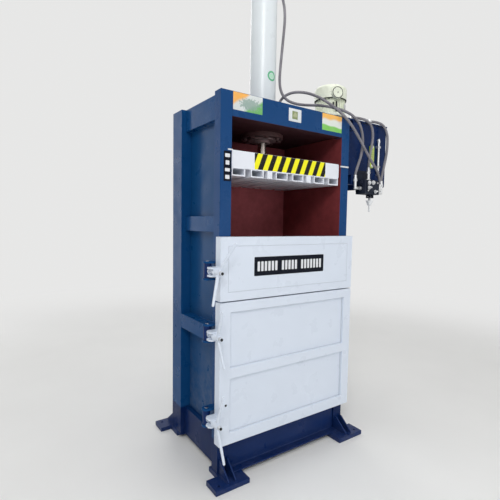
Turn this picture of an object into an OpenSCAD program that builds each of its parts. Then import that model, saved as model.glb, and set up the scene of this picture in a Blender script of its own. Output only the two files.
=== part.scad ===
// Vertical baling press: a welded steel frame with a loading opening, two clamped doors,
// a platen driven down by an upright cylinder, and a power pack hung on the right side.
// Origin: centre of the frame's plan on the floor. +X is to the right of someone facing
// the doors, +Y is to the rear, +Z is up.

/* [Frame] */
// Overall depth across the posts
frame_d = 700; // [640:10:860]
// Height of the posts above the floor
frame_h = 2400; // [2360:10:2600]
// Width of a front post across the machine
front_post_w = 80; // [70:5:90]
// Depth of a front post, front to back
front_post_d = 75; // [65:5:85]
// Wall of a front post
front_post_wall = 6; // [4:1:8]
// Web of a rear post channel, front to back
rear_post_web = 150; // [125:5:175]
// Thickness of the rolled channels
channel_t = 8; // [6:1:10]

/* [Crown] */
// Height of the crown beams
crown_h = 150; // [140:5:160]
// Reach of the front crown beam's flanges
crown_flange = 70; // [55:5:80]
// Thickness of the head plate that carries the cylinder
head_plate_t = 30; // [20:2:40]
// Distance of the head ribs from the ram's axis
head_rib_y = 170; // [165:5:190]

/* [Stiffeners] */
// Height of the middle stiffener channels
stiffener_h = 100; // [80:5:120]
// Underside of the upper stiffeners
upper_stiffener_z = 1550; // [1450:10:1750]
// Underside of the lower stiffeners
lower_stiffener_z = 845; // [700:10:900]
// Setback of the crown, upper and base side channels behind the posts' outer faces
side_setback = 35; // [20:5:45]
// Depth of the rear channels behind the back sheet
rear_channel_d = 30; // [25:1:40]

/* [Base] */
// Thickness of a foot plate
foot_t = 30; // [20:2:40]
// Side of a foot plate
foot_side = 240; // [220:5:260]
// Depth of a foot plate's full width, in front of or behind its post
foot_pad_d = 125; // [100:5:135]
// Reach of the rest of a foot plate beyond the posts' outer side faces
foot_heel_reach = 5; // [0:1:20]
// Reach of a foot beyond the posts' outer side faces
foot_side_reach = 85; // [70:5:110]
// Reach of a foot beyond the posts' front or rear faces
foot_end_reach = 140; // [110:5:160]
// Diameter of an anchor hole
anchor_d = 18; // [14:1:24]
// Distance of an anchor hole from the two free edges of its foot
anchor_inset = 40; // [30:1:45]
// Height of the foot gussets
gusset_h = 95; // [60:5:120]
// Thickness of the foot gussets
gusset_t = 10; // [6:1:14]
// Height of the base channels
base_beam_h = 208; // [190:2:210]
// Reach of the front base channel's flanges
base_flange = 65; // [50:5:75]
// Height of the bearers under the bed
bearer_h = 80; // [60:5:100]
// Width of a bearer
bearer_w = 50; // [40:5:60]

/* [Sheets] */
// Thickness of the side and back sheets
sheet_t = 5; // [4:1:6]

/* [Platen] */
// Width of the platen, which the frame's width follows
platen_w = 930; // [800:5:1100]
// Gap between the platen and the sides of the chamber
platen_side_gap = 10; // [7:1:16]
// Room between the cylinder's flange and the platen's top edge at rest
platen_drop = 173; // [158:1:220]
// Height of the platen's upper box
platen_box_h = 108; // [100:1:130]
// Gap between the platen and the backs of the doors
platen_front_gap = 17; // [12:1:25]
// Gap between the platen and the back sheet
platen_back_gap = 10; // [6:1:20]
// Thickness of the platen's plates
platen_t = 10; // [8:1:14]
// Height of the channels under the platen
platen_grid_h = 48; // [40:1:80]
// Height of the channels on the bed
bed_grid_h = 75; // [65:5:80]
// Width of one channel of the platen and the bed
grid_w = 100; // [90:2:110]
// Wall of the channels of the platen and the bed
grid_t = 8; // [6:1:10]
// Distance between the two channels of a pair
pair_pitch = 143; // [135:1:150]
// Setback of the outermost channels behind the platen's sides
grid_inset = 0.5; // [0:0.5:3]
// Width of the bar between two pairs
bar_w = 40; // [30:2:50]
// Side of the pad under the rod coupling
pad_side = 260; // [240:10:300]
// Thickness of the pad under the rod coupling
pad_t = 20; // [16:1:24]

/* [Cylinder] */
// Bore of the cylinder
bore_d = 160; // [140:5:170]
// Wall of the cylinder tube
tube_wall = 15; // [10:1:18]
// Diameter of the piston rod
rod_d = 65; // [55:1:80]
// Stroke of the ram
stroke = 1000; // [800:10:1000]
// Radial clearance of the piston and of the rod in its gland
slide_gap = 0.05; // [0.02:0.01:0.08]
// Length of the piston
piston_l = 80; // [60:5:100]
// Length of the gland inside the tube
gland_l = 82; // [60:2:90]
// Length of the gland's nose below the flange
gland_nose = 28; // [20:1:34]
// Diameter of the gland's nose
gland_nose_d = 120; // [110:5:130]
// Radial gap between the cylinder tube and the holes it stands in
tube_fit = 0.5; // [0.3:0.1:1]
// Free length between the piston and the gland at full stroke
end_cushion = 75; // [60:5:100]
// Thickness of the cap
cap_t = 40; // [30:2:50]
// Diameter of the mounting flange
flange_d = 310; // [290:5:320]
// Thickness of the mounting flange
flange_t = 30; // [20:2:35]
// Pitch circle of the flange bolts
flange_pcd = 256; // [250:1:260]
// Number of flange bolts
flange_bolts_n = 8; // [6:1:10]
// Diameter of the flange bolts
flange_bolt_d = 20; // [16:1:22]
// Diameter of the rod coupling's plate
coupling_d = 190; // [170:5:200]
// Thickness of the rod coupling's plate
coupling_t = 20; // [16:1:24]
// Height of the rod coupling's boss
coupling_boss_h = 35; // [25:1:40]
// Pitch circle of the coupling bolts
coupling_pcd = 150; // [145:1:154]

/* [Doors] */
// Reach of the doors past the left posts' outer face
door_left = 25; // [15:1:30]
// Reach of the doors past the right post's outer face
door_right = 3; // [1:1:5]
// Thickness of a door
door_t = 58; // [50:1:65]
// Gap between the doors and the front posts
door_gap = 2; // [1:0.5:3]
// Bottom edge of the lower door
lower_door_z = 240; // [236:1:250]
// Height of the joint between the two doors
door_split = 1133; // [1120:1:1145]
// Gap between the two doors
split_gap = 8; // [4:1:10]
// Top edge of the upper door
upper_door_top = 1525; // [1490:5:1540]
// Thickness of the door plates
door_plate = 5; // [4:1:6]
// Depth of the lower door's recessed panels
panel_recess = 18; // [10:1:24]
// Width of the lower door's stiles
stile_w = 75; // [65:5:85]
// Height of the lower door's top rail
top_rail_h = 62; // [55:1:70]
// Height of the lower door's middle rail
mid_rail_h = 65; // [55:1:75]
// Height of the lower door's bottom rail
bottom_rail_h = 73; // [60:1:80]
// Underside of the lower door's middle rail
mid_rail_z = 655; // [600:5:700]

/* [Hinges] */
// Distance of the hinge pins from the right posts' outer face
hinge_out = 35; // [33:1:45]
// Diameter of a hinge pin
hinge_pin_d = 20; // [16:1:24]
// Radial clearance of a hinge pin
pin_gap = 0.05; // [0.02:0.01:0.08]
// Outer diameter of a hinge knuckle
knuckle_d = 38; // [34:1:42]
// Height of a door knuckle
knuckle_h = 60; // [40:2:80]
// Thickness of a hinge ear
ear_t = 14; // [10:1:18]
// Play between a knuckle and an ear
ear_play = 0.5; // [0.3:0.1:1]
// Heights of the upper door's hinges
upper_hinge_low = 1210; // [1195:5:1240]
// Height of the upper door's upper hinge
upper_hinge_high = 1450; // [1410:5:1460]
// Height of the lower door's lower hinge
lower_hinge_low = 340; // [320:5:400]
// Height of the lower door's upper hinge
lower_hinge_high = 1030; // [960:5:1045]

/* [Clamps] */
// Distance of the clamp screws from the posts' outer face
clamp_out = 57; // [50:1:62]
// Height of the upper door's clamp
clamp_top_z = 1318; // [1315:1:1330]
// Height of the lower door's middle clamp
clamp_mid_z = 935; // [910:1:938]
// Height of the lower door's bottom clamp
clamp_low_z = 405; // [380:1:440]
// Diameter of a clamp screw
screw_d = 24; // [20:1:28]
// Gap between the two plates of a fork
fork_gap = 36; // [30:1:38]
// Thickness of a fork plate
fork_t = 10; // [8:1:12]
// Diameter of a clamp screw's hub
hub_d = 40; // [38:1:46]
// Length of a clamp screw's hub
hub_l = 46; // [40:1:56]
// Length of the screw's end in front of the hub
screw_nose = 23; // [15:1:30]
// Length of the top clamp's handle arms
arm_top_l = 206; // [160:2:208]
// Length of the middle clamp's handle arms
arm_mid_l = 184; // [160:2:186]
// Length of the bottom clamp's handle arms
arm_low_l = 222; // [160:2:230]
// Forward sweep of the handle arms, in degrees
arm_sweep = 21; // [10:1:30]
// Diameter of a handle arm at its tip
arm_d = 15; // [12:1:18]
// Diameter of a nut
nut_d = 48; // [44:1:52]
// Radial room round the screw in its nut, which lets it follow the door's arc
nut_room = 2.2; // [2:0.1:3]
// Engagement of a screw in its nut
nut_grip = 30; // [20:1:32]
// Distance of the nuts behind the front face of their post
nut_inset = 40; // [34:1:45]
// Height between the two plates of a clamp bracket
bracket_gap = 90; // [84:1:96]
// Thickness of a bracket plate
bracket_t = 12; // [8:1:14]

/* [Power pack] */
// Width of the oil tank
tank_w = 470; // [440:5:520]
// Depth of the oil tank
tank_d = 450; // [400:5:470]
// Height of the oil tank
tank_h = 490; // [450:5:540]
// Rise of the oil tank's top above the posts
tank_rise = 20; // [0:5:40]
// Setback of the tank's front from the frame's front
tank_setback = 70; // [60:5:90]
// Wall of the oil tank
tank_wall = 4; // [3:1:6]
// Thickness of the tank's lid
lid_t = 10; // [8:1:14]
// Depth of the rails that carry the tank
rail_d = 50; // [40:5:60]
// Height of the rails that carry the tank
rail_h = 80; // [60:5:90]
// Diameter of the motor's frame
motor_d = 250; // [230:5:270]
// Height of the motor's frame
motor_h = 140; // [100:5:160]
// Distance of the motor's axis from the frame's outer face
motor_out = 145; // [140:5:160]
// Diameter of the motor's cowl
cowl_d = 262; // [240:2:280]
// Height of the motor's cowl
cowl_h = 130; // [110:5:150]
// Rounding of the cowl's top edge
cowl_round = 60; // [40:5:70]
// Diameter of the round boss on the cowl's front
boss_d = 84; // [60:2:100]
// Height of the bell housing between the lid and the motor
bell_h = 78; // [60:2:100]
// Width of the valve block
valve_w = 170; // [150:5:190]
// Depth of the valve block
valve_d = 90; // [70:5:100]
// Height of the valve block
valve_h = 110; // [90:5:120]
// Length of the valve's hand lever
lever_l = 110; // [80:5:140]
// Diameter of a hose
hose_d = 20; // [18:1:22]

/* [Hidden] */
$fn = 48;

BLUE = [0.09, 0.22, 0.47];
NAVY = [0.05, 0.10, 0.29];
WHITE = [0.88, 0.90, 0.95];
MAROON = [0.33, 0.14, 0.15];
STEEL = [0.62, 0.63, 0.65];
DARK = [0.14, 0.15, 0.18];
CREAM = [0.82, 0.83, 0.75];
GREY = [0.40, 0.40, 0.43];
GAUGE = [0.75, 0.84, 0.18];

eps = 1;
chamber_x = platen_w / 2 + platen_side_gap;
half_w = chamber_x + front_post_w;
half_d = frame_d / 2;
front_y = -half_d;
sheet_x = chamber_x + sheet_t;
back_y = half_d - rear_channel_d - sheet_t;
crown_z = frame_h - crown_h;
rear_flange = half_w - sheet_x;
side_front_y = front_y + front_post_d;
side_rear_y = half_d - rear_post_web;
side_web_x = half_w - side_setback;
foot_inner_x = half_w + foot_side_reach - foot_side;
foot_end_y = half_d + foot_end_reach;
anchor_x = half_w + foot_side_reach - anchor_inset;
anchor_y = foot_end_y - anchor_inset;
base_top = foot_t + base_beam_h;
bed_top = base_top + bed_grid_h;

head_z = crown_z + channel_t;
tube_d = bore_d + 2 * tube_wall;
flange_z = head_z - flange_t;
gland_top = flange_z + gland_l;
piston_z = gland_top + end_cushion + stroke;
tube_top = piston_z + piston_l + 55;
rod_top = piston_z + piston_l + 10;
rod_port_z = gland_top + 40;
cap_port_z = tube_top - 28;
port_face = tube_d / 2 + 12;

platen_top = flange_z - platen_drop;
platen_front = front_y - door_gap + platen_front_gap;
platen_back = back_y - platen_back_gap;
platen_d = platen_back - platen_front;
platen_box_z = platen_top - platen_box_h;
grid_top = platen_box_z;
coupling_top = platen_top + coupling_t + coupling_boss_h;
pair_spacing = (platen_w - pair_pitch - grid_w) / 2 - grid_inset;
GRID_X = [for (p = [-1:1]) for (s = [-1, 1]) p * pair_spacing + s * pair_pitch / 2];
BAR_X = [-pair_spacing / 2, pair_spacing / 2];

door_back = front_y - door_gap;
door_front = door_back - door_t;
door_x0 = -half_w - door_left;
door_x1 = half_w + door_right;
lower_door_top = door_split - split_gap / 2;
upper_door_z = door_split + split_gap / 2;

hinge_x = half_w + hinge_out;
hinge_y = door_back;
UPPER_HINGES = [upper_hinge_low, upper_hinge_high];
LOWER_HINGES = [lower_hinge_low, lower_hinge_high];

clamp_x = -half_w - clamp_out;
clamp_nut_y = front_y + nut_inset;
bracket_r = nut_d * 0.625;
CLAMP_Z = [clamp_top_z, clamp_mid_z, clamp_low_z];
fork_reach = 33;
hub_play = 0.3;
collar_t = 7;
screw_tip_y = clamp_nut_y - nut_d / 2 + nut_grip;

tank_x = half_w + rail_d;
tank_y = front_y + tank_setback;
tank_top = frame_h + tank_rise;
tank_z = tank_top - tank_h;
lid_top = tank_top + lid_t;
motor_x = half_w + motor_out;
motor_z = lid_top + bell_h;
cowl_z = motor_z + motor_h;
valve_x = half_w + 155;
valve_z = tank_z - 80;
valve_front = tank_y - 15 - valve_d;
valve_mid_y = valve_front + valve_d / 2;
valve_mid_z = valve_z + valve_h / 2;
lever_x = valve_x + 115;
lever_z = valve_z - 8;

// A route with its ends moved to their fittings, and the points between them moved in proportion.
function settled(route, first, last) =
    let (n = len(route) - 1, a = first - route[0], b = last - route[n])
    [for (i = [0:n]) let (t = max(0, min(1, (i - 2) / (n - 4)))) route[i] + (1 - t) * a + t * b];

// Routes of the hoses' centre lines, from one fitting to the other.
CAP_HOSE = settled(
    [
        [150, 0, 3430], [150, 0, 3390], [152, -8, 3330], [156, -22, 3270], [159, -36, 3210],
        [157, -46, 3150], [153, -50, 3090], [148, -50, 3030], [142, -50, 2970], [136, -50, 2910],
        [130, -50, 2850], [124, -50, 2790], [119, -50, 2730], [116, -52, 2670], [119, -58, 2612],
        [136, -70, 2560], [170, -90, 2524], [218, -115, 2506], [272, -142, 2500], [326, -172, 2500],
        [378, -204, 2500], [430, -238, 2494], [480, -274, 2482], [530, -308, 2464], [578, -336, 2440],
        [621, -354, 2406], [656, -364, 2360], [679, -366, 2306], [689, -366, 2248], [688, -364, 2188],
        [680, -358, 2130], [667, -349, 2076], [654, -342, 2028], [648, -340, 1995], [648, -340, 1970]
    ],
    [port_face + 43, 0, cap_port_z - 62],
    [valve_x - 62, valve_mid_y, valve_z + 120]
);
ROD_HOSE = settled(
    [
        [140, 0, 2442], [140, 0, 2476], [148, -14, 2526], [172, -44, 2568], [206, -92, 2588],
        [244, -144, 2586], [282, -196, 2570], [322, -246, 2542], [364, -290, 2506], [410, -328, 2464],
        [456, -362, 2418], [500, -384, 2370], [543, -396, 2322], [588, -400, 2274], [633, -402, 2226],
        [679, -402, 2176], [726, -402, 2128], [773, -400, 2086], [820, -392, 2052], [864, -380, 2020],
        [899, -367, 1985], [915, -362, 1945], [915, -362, 1915]
    ],
    [port_face + 33, 0, rod_port_z + 92],
    [valve_x + valve_w + 35, valve_mid_y - 22, valve_z + 65]
);
PUMP_HOSE = settled(
    [
        [685, -262, 2452], [715, -262, 2452], [763, -276, 2450], [802, -301, 2436], [828, -323, 2400],
        [838, -335, 2350], [835, -341, 2296], [824, -344, 2242], [812, -344, 2188], [803, -343, 2132],
        [800, -340, 2075], [800, -340, 2040]
    ],
    [tank_x + 80, tank_y + 18, lid_top + 22],
    [valve_x + 90, valve_mid_y, valve_z + valve_h + 80]
);
RETURN_HOSE = settled(
    [
        [875, -262, 2452], [905, -262, 2452], [952, -278, 2450], [992, -302, 2434], [1018, -320, 2396],
        [1031, -330, 2344], [1034, -332, 2288], [1032, -332, 2232], [1024, -331, 2174], [1012, -329, 2116],
        [1000, -326, 2060], [990, -323, 2010], [985, -322, 1975], [985, -322, 1950]
    ],
    [tank_x + 270, tank_y + 18, lid_top + 22],
    [valve_x + valve_w + 105, valve_mid_y + 18, valve_z + 100]
);

// Outline of a rolled channel: web along Y from 0 to its height, flanges towards +X.
module channel_outline(web, flange, t) {
    polygon([
        [0, 0], [flange, 0], [flange, t], [t * 1.6, t], [t, t * 1.6],
        [t, web - t * 1.6], [t * 1.6, web - t], [flange, web - t], [flange, web], [0, web]
    ]);
}

// Channel lying along Y on the right side, web outwards at x_web, flanges inwards to x_in.
module side_channel(x_web, x_in, z, h) {
    translate([x_web, side_rear_y, z])
        rotate([90, 0, 0])
            linear_extrude(side_rear_y - side_front_y)
                mirror([1, 0, 0])
                    channel_outline(h, x_web - x_in, channel_t);
}

// The four channels between the posts of the right side.
module side_channels() {
    side_channel(side_web_x, sheet_x, crown_z, crown_h);
    side_channel(side_web_x, sheet_x, upper_stiffener_z, stiffener_h);
    side_channel(half_w, sheet_x, lower_stiffener_z, stiffener_h);
    side_channel(side_web_x, sheet_x, foot_t, base_beam_h);
}

// Channel lying along X behind the back sheet, web to the rear.
module rear_channel(z, h) {
    translate([-sheet_x, half_d, z])
        rotate([90, 0, 90])
            linear_extrude(2 * sheet_x)
                mirror([1, 0, 0])
                    channel_outline(h, rear_channel_d, channel_t);
}

// Front post of the right side: a square tube closed at its top.
module front_post() {
    translate([chamber_x, front_y, foot_t])
        difference() {
            cube([front_post_w, front_post_d, frame_h - foot_t]);
            translate([front_post_wall, front_post_wall, -eps])
                cube([
                    front_post_w - 2 * front_post_wall,
                    front_post_d - 2 * front_post_wall,
                    frame_h - foot_t - front_post_wall + eps
                ]);
        }
}

// Rear post of the right side: a channel with its web outwards.
module rear_post() {
    translate([half_w, side_rear_y, foot_t])
        linear_extrude(frame_h - foot_t)
            mirror([1, 0, 0])
                channel_outline(rear_post_web, rear_flange, channel_t);
}

// Thin pointer on the left post that shows the platen's height.
module left_pointer() {
    translate([-half_w + front_post_w * 0.65, front_y - 4, platen_top - 8])
        cube([front_post_w * 0.35 + 4, 4, 8]);
}

// Round pointer rod across the right post at the platen's height.
module right_pointer() {
    translate([chamber_x - 8, front_y - 4, platen_top - 16])
        rotate([0, 90, 0])
            cylinder(d = 12, h = front_post_w);
}

module front_post_left() {
    color(BLUE) {
        mirror([1, 0, 0]) front_post();
        left_pointer();
    }
}

module front_post_right() {
    color(BLUE) {
        front_post();
        right_pointer();
    }
}

module rear_post_left() {
    color(BLUE) mirror([1, 0, 0]) rear_post();
}

module rear_post_right() {
    color(BLUE) rear_post();
}

module crown_front_beam() {
    color(BLUE)
        translate([-chamber_x, front_y, crown_z])
            rotate([90, 0, 90])
                linear_extrude(2 * chamber_x)
                    channel_outline(crown_h, crown_flange, channel_t);
}

// Head plate with the cylinder's hole, and the two ribs that stiffen it.
module head_plate() {
    color(MAROON)
        difference() {
            union() {
                translate([-chamber_x, front_y + 2 * channel_t, head_z])
                    cube([2 * chamber_x, back_y - front_y - 2 * channel_t, head_plate_t]);
                for (s = [-1, 1])
                    translate([-chamber_x, s * head_rib_y - channel_t, head_z + head_plate_t])
                        cube([2 * chamber_x, 2 * channel_t, frame_h - head_z - head_plate_t]);
            }
            translate([0, 0, head_z - eps])
                cylinder(d = tube_d + 2 * tube_fit, h = head_plate_t + 2 * eps);
            for (i = [0:flange_bolts_n - 1])
                rotate([0, 0, (i + 0.5) * 360 / flange_bolts_n])
                    translate([flange_pcd / 2, 0, head_z - eps])
                        cylinder(d = flange_bolt_d + 2 * tube_fit, h = head_plate_t + 2 * eps);
        }
}

module side_channels_left() {
    color(BLUE) mirror([1, 0, 0]) side_channels();
}

module side_channels_right() {
    color(BLUE) side_channels();
}

module rear_channels() {
    color(BLUE) {
        rear_channel(crown_z, crown_h);
        rear_channel(upper_stiffener_z, stiffener_h);
        rear_channel(lower_stiffener_z, stiffener_h);
        rear_channel(foot_t, base_beam_h);
    }
}

module side_sheet() {
    translate([chamber_x, side_front_y, foot_t])
        cube([sheet_t, back_y + sheet_t - side_front_y, frame_h - foot_t]);
}

module side_sheet_left() {
    color(BLUE) mirror([1, 0, 0]) side_sheet();
}

module side_sheet_right() {
    color(BLUE) side_sheet();
}

module back_sheet() {
    color(MAROON)
        translate([-chamber_x, back_y, foot_t])
            cube([2 * chamber_x, sheet_t, frame_h - foot_t]);
}

// Front base channel: its flanges point forward, and its lower flange stands on the feet.
module base_front_channel() {
    color(NAVY)
        translate([-chamber_x, front_y + 20, foot_t])
            rotate([90, 0, 90])
                linear_extrude(2 * chamber_x)
                    mirror([1, 0, 0])
                        channel_outline(base_beam_h, base_flange, channel_t);
}

// Channels and bars that run front to back under a load, with slots between them for straps.
// The web is at z = 0 and the flanges rise to the height h.
module strap_grid(y0, y1, h) {
    for (x = GRID_X)
        translate([x - grid_w / 2, y1, 0])
            rotate([90, 0, 0])
                linear_extrude(y1 - y0)
                    difference() {
                        square([grid_w, h]);
                        translate([grid_t, grid_t])
                            square([grid_w - 2 * grid_t, h]);
                    }
    for (x = BAR_X)
        translate([x - bar_w / 2, y0, 0])
            cube([bar_w, y1 - y0, h]);
}

module bed_channels() {
    color(MAROON)
        translate([0, 0, bed_top])
            mirror([0, 0, 1])
                strap_grid(platen_front, back_y, bed_grid_h);
}

// Hollow bearers across the machine under the bed.
module bed_bearers() {
    color(MAROON)
        for (y = [platen_front + 95, back_y - 90])
            translate([-chamber_x, y - bearer_w / 2, base_top - bearer_h])
                difference() {
                    cube([2 * chamber_x, bearer_w, bearer_h]);
                    translate([-eps, grid_t, grid_t])
                        cube([2 * chamber_x + 2 * eps, bearer_w - 2 * grid_t, bearer_h - 2 * grid_t]);
                }
}

// Front foot of the right side: plate, anchor hole and the gussets to its post.
module foot() {
    difference() {
        union() {
            translate([foot_inner_x, -foot_end_y, 0])
                cube([foot_side, foot_pad_d, foot_t]);
            translate([foot_inner_x, -foot_end_y, 0])
                cube([half_w + foot_heel_reach - foot_inner_x, foot_side, foot_t]);
        }
        translate([anchor_x, -anchor_y, -eps])
            cylinder(d = anchor_d, h = foot_t + 2 * eps);
    }
    for (x = [chamber_x + 10, half_w - gusset_t - 10])
        translate([x, front_y, foot_t])
            rotate([90, 0, 90])
                linear_extrude(gusset_t)
                    polygon([[0, 0], [0, gusset_h], [-20, gusset_h], [-foot_end_reach + 20, 12], [-foot_end_reach + 20, 0]]);
}

module feet() {
    color(NAVY)
        for (sx = [0, 1])
            for (sy = [0, 1])
                mirror([sx, 0, 0])
                    mirror([0, sy, 0])
                        foot();
}

// Upper box of the platen: four sides, a deck, cross ribs and the pad under the coupling.
module platen_box() {
    color(WHITE)
        translate([-platen_w / 2, platen_front, platen_box_z])
            union() {
                cube([platen_w, platen_d, platen_t]);
                cube([platen_w, platen_t, platen_box_h]);
                translate([0, platen_d - platen_t, 0])
                    cube([platen_w, platen_t, platen_box_h]);
                for (x = [0, platen_w - platen_t])
                    translate([x, 0, 0])
                        cube([platen_t, platen_d, platen_box_h]);
                for (x = [(platen_w - pad_side) / 2, (platen_w + pad_side) / 2 - platen_t])
                    translate([x, 0, 0])
                        cube([platen_t, platen_d, platen_box_h - pad_t]);
                for (y = [-platen_front - pad_side / 2, -platen_front + pad_side / 2 - platen_t])
                    translate([0, y, 0])
                        cube([platen_w, platen_t, platen_box_h - pad_t]);
                translate([(platen_w - pad_side) / 2, -platen_front - pad_side / 2, platen_box_h - pad_t])
                    cube([pad_side, pad_side, pad_t]);
            }
}

module platen_channels() {
    color(WHITE)
        translate([0, 0, grid_top - platen_grid_h])
            strap_grid(platen_front, platen_back, platen_grid_h);
}

// Flanged coupling that the rod's end is held in.
module rod_coupling() {
    color(MAROON)
        difference() {
            translate([0, 0, platen_top])
                rotate_extrude()
                    polygon([
                        [0, 0], [coupling_d / 2, 0], [coupling_d / 2, coupling_t - 3], [coupling_d / 2 - 3, coupling_t],
                        [rod_d / 2 + 22, coupling_t], [rod_d / 2 + 16, coupling_t + coupling_boss_h], [0, coupling_t + coupling_boss_h]
                    ]);
            translate([0, 0, platen_top + 4])
                cylinder(d = rod_d + 2 * slide_gap, h = coupling_t + coupling_boss_h);
            for (a = [45:90:315])
                rotate([0, 0, a])
                    translate([coupling_pcd / 2, 0, platen_top - eps])
                        cylinder(d = 17, h = coupling_t + 2 * eps);
        }
}

// Hexagon-head bolt pointing down, its head's underside at z = 0.
module bolt(d, shank) {
    cylinder(d = d * 1.8, h = d * 0.65, $fn = 6);
    translate([0, 0, -shank])
        cylinder(d = d, h = shank + eps);
}

module coupling_bolts() {
    color(STEEL)
        for (a = [45:90:315])
            rotate([0, 0, a])
                translate([coupling_pcd / 2, 0, platen_top + coupling_t])
                    bolt(16, coupling_t - 1);
}

module cylinder_tube() {
    color(WHITE)
        difference() {
            union() {
                translate([0, 0, flange_z])
                    cylinder(d = tube_d, h = tube_top - flange_z, $fn = 96);
                for (z = [rod_port_z, cap_port_z])
                    translate([0, 0, z])
                        rotate([0, 90, 0])
                            cylinder(d = hose_d + 14, h = port_face);
            }
            translate([0, 0, flange_z - eps])
                cylinder(d = bore_d, h = tube_top - flange_z + 2 * eps, $fn = 96);
            for (z = [rod_port_z, cap_port_z])
                translate([0, 0, z])
                    rotate([0, 90, 0])
                        cylinder(d = 12, h = port_face + eps);
        }
}

module cylinder_cap() {
    color(WHITE)
        translate([0, 0, tube_top])
            rotate_extrude($fn = 96)
                polygon([
                    [0, 0], [tube_d / 2 + 6, 0], [tube_d / 2 + 6, cap_t - 8], [tube_d / 2 - 2, cap_t], [0, cap_t]
                ]);
}

module cylinder_flange() {
    color(MAROON)
        translate([0, 0, flange_z])
            difference() {
                cylinder(d = flange_d, h = flange_t, $fn = 96);
                translate([0, 0, -eps])
                    cylinder(d = tube_d + 2 * tube_fit, h = flange_t + 2 * eps, $fn = 96);
                for (i = [0:flange_bolts_n - 1])
                    rotate([0, 0, (i + 0.5) * 360 / flange_bolts_n])
                        translate([flange_pcd / 2, 0, -eps])
                            cylinder(d = flange_bolt_d + 2 * tube_fit, h = flange_t + 2 * eps);
            }
}

module flange_bolts() {
    color(MAROON)
        for (i = [0:flange_bolts_n - 1])
            rotate([0, 0, (i + 0.5) * 360 / flange_bolts_n])
                translate([flange_pcd / 2, 0, flange_z])
                    mirror([0, 0, 1])
                        bolt(flange_bolt_d, flange_t + head_plate_t);
}

// Gland in the tube's lower end: a nose, a collar seated on the tube's end, and a guide for the rod.
module cylinder_gland() {
    rod_r = rod_d / 2 + slide_gap;
    nose_r = gland_nose_d / 2;
    guide_r = bore_d / 2 - 0.1;
    collar_r = tube_d / 2 + 8;
    color(STEEL)
        translate([0, 0, flange_z - gland_nose])
            rotate_extrude($fn = 96)
                polygon([
                    [rod_r, 6], [rod_r + 6, 0], [nose_r - 4, 0], [nose_r, 4], [nose_r, gland_nose - 10],
                    [collar_r, gland_nose - 10], [collar_r, gland_nose], [guide_r, gland_nose],
                    [guide_r, gland_nose + gland_l], [rod_r, gland_nose + gland_l]
                ]);
}

module piston() {
    color(STEEL)
        translate([0, 0, piston_z])
            rotate_extrude($fn = 96)
                difference() {
                    translate([rod_d / 2 - 10, 0])
                        square([bore_d / 2 - slide_gap - rod_d / 2 + 10, piston_l]);
                    for (z = [14, piston_l - 24])
                        translate([bore_d / 2 - 6, z])
                            square([7, 10]);
                }
}

// Rod with the step that the piston sits on and the nut above it.
module piston_rod() {
    color(STEEL)
        rotate_extrude($fn = 96)
            polygon([
                [0, platen_top + 4], [rod_d / 2, platen_top + 4], [rod_d / 2, piston_z], [rod_d / 2 - 10, piston_z],
                [rod_d / 2 - 10, piston_z + piston_l], [rod_d / 2 + 4, piston_z + piston_l], [rod_d / 2 + 4, rod_top + 20],
                [0, rod_top + 20]
            ]);
}

// Folded door pan: a front plate with a returned edge all round.
module door_pan(z0, z1) {
    translate([door_x0, door_front, z0])
        difference() {
            cube([door_x1 - door_x0, door_t, z1 - z0]);
            translate([door_plate, door_plate, door_plate])
                cube([door_x1 - door_x0 - 2 * door_plate, door_t, z1 - z0 - 2 * door_plate]);
        }
}

// Plate that closes the inner side of a door between its returned edges.
module door_back_plate(z0, z1) {
    translate([door_x0 + door_plate, door_back - door_plate, z0 + door_plate])
        cube([door_x1 - door_x0 - 2 * door_plate, door_plate, z1 - z0 - 2 * door_plate]);
}

module upper_door_skin() {
    color(WHITE)
        union() {
            door_pan(upper_door_z, upper_door_top);
            for (x = [door_x0 * 0.36, door_x1 * 0.36])
                translate([x - 3, door_front + door_plate - eps, upper_door_z + eps])
                    cube([6, door_t - 2 * door_plate + eps, upper_door_top - upper_door_z - 2 * eps]);
        }
}

module upper_door_back() {
    color(WHITE) door_back_plate(upper_door_z, upper_door_top);
}

// Windows of the lower door: [bottom, top] of each recessed panel.
WINDOWS = [
    [lower_door_z + bottom_rail_h, mid_rail_z],
    [mid_rail_z + mid_rail_h, lower_door_top - top_rail_h]
];

// Lower door: a pan whose front plate is folded in round two windows.
module lower_door_frame() {
    window_w = door_x1 - door_x0 - 2 * stile_w;
    color(WHITE)
        difference() {
            union() {
                door_pan(lower_door_z, lower_door_top);
                for (w = WINDOWS)
                    translate([door_x0 + stile_w - door_plate, door_front + eps, w[0] - door_plate])
                        cube([window_w + 2 * door_plate, panel_recess - eps, w[1] - w[0] + 2 * door_plate]);
            }
            for (w = WINDOWS)
                translate([door_x0 + stile_w, door_front - eps, w[0]])
                    cube([window_w, door_t + 2 * eps, w[1] - w[0]]);
        }
}

module lower_door_panels() {
    color(WHITE)
        for (w = WINDOWS)
            translate([door_x0 + stile_w - door_plate, door_front + panel_recess, w[0] - door_plate])
                cube([door_x1 - door_x0 - 2 * stile_w + 2 * door_plate, door_plate, w[1] - w[0] + 2 * door_plate]);
}

module lower_door_back() {
    color(WHITE) door_back_plate(lower_door_z, lower_door_top);
}

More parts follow.
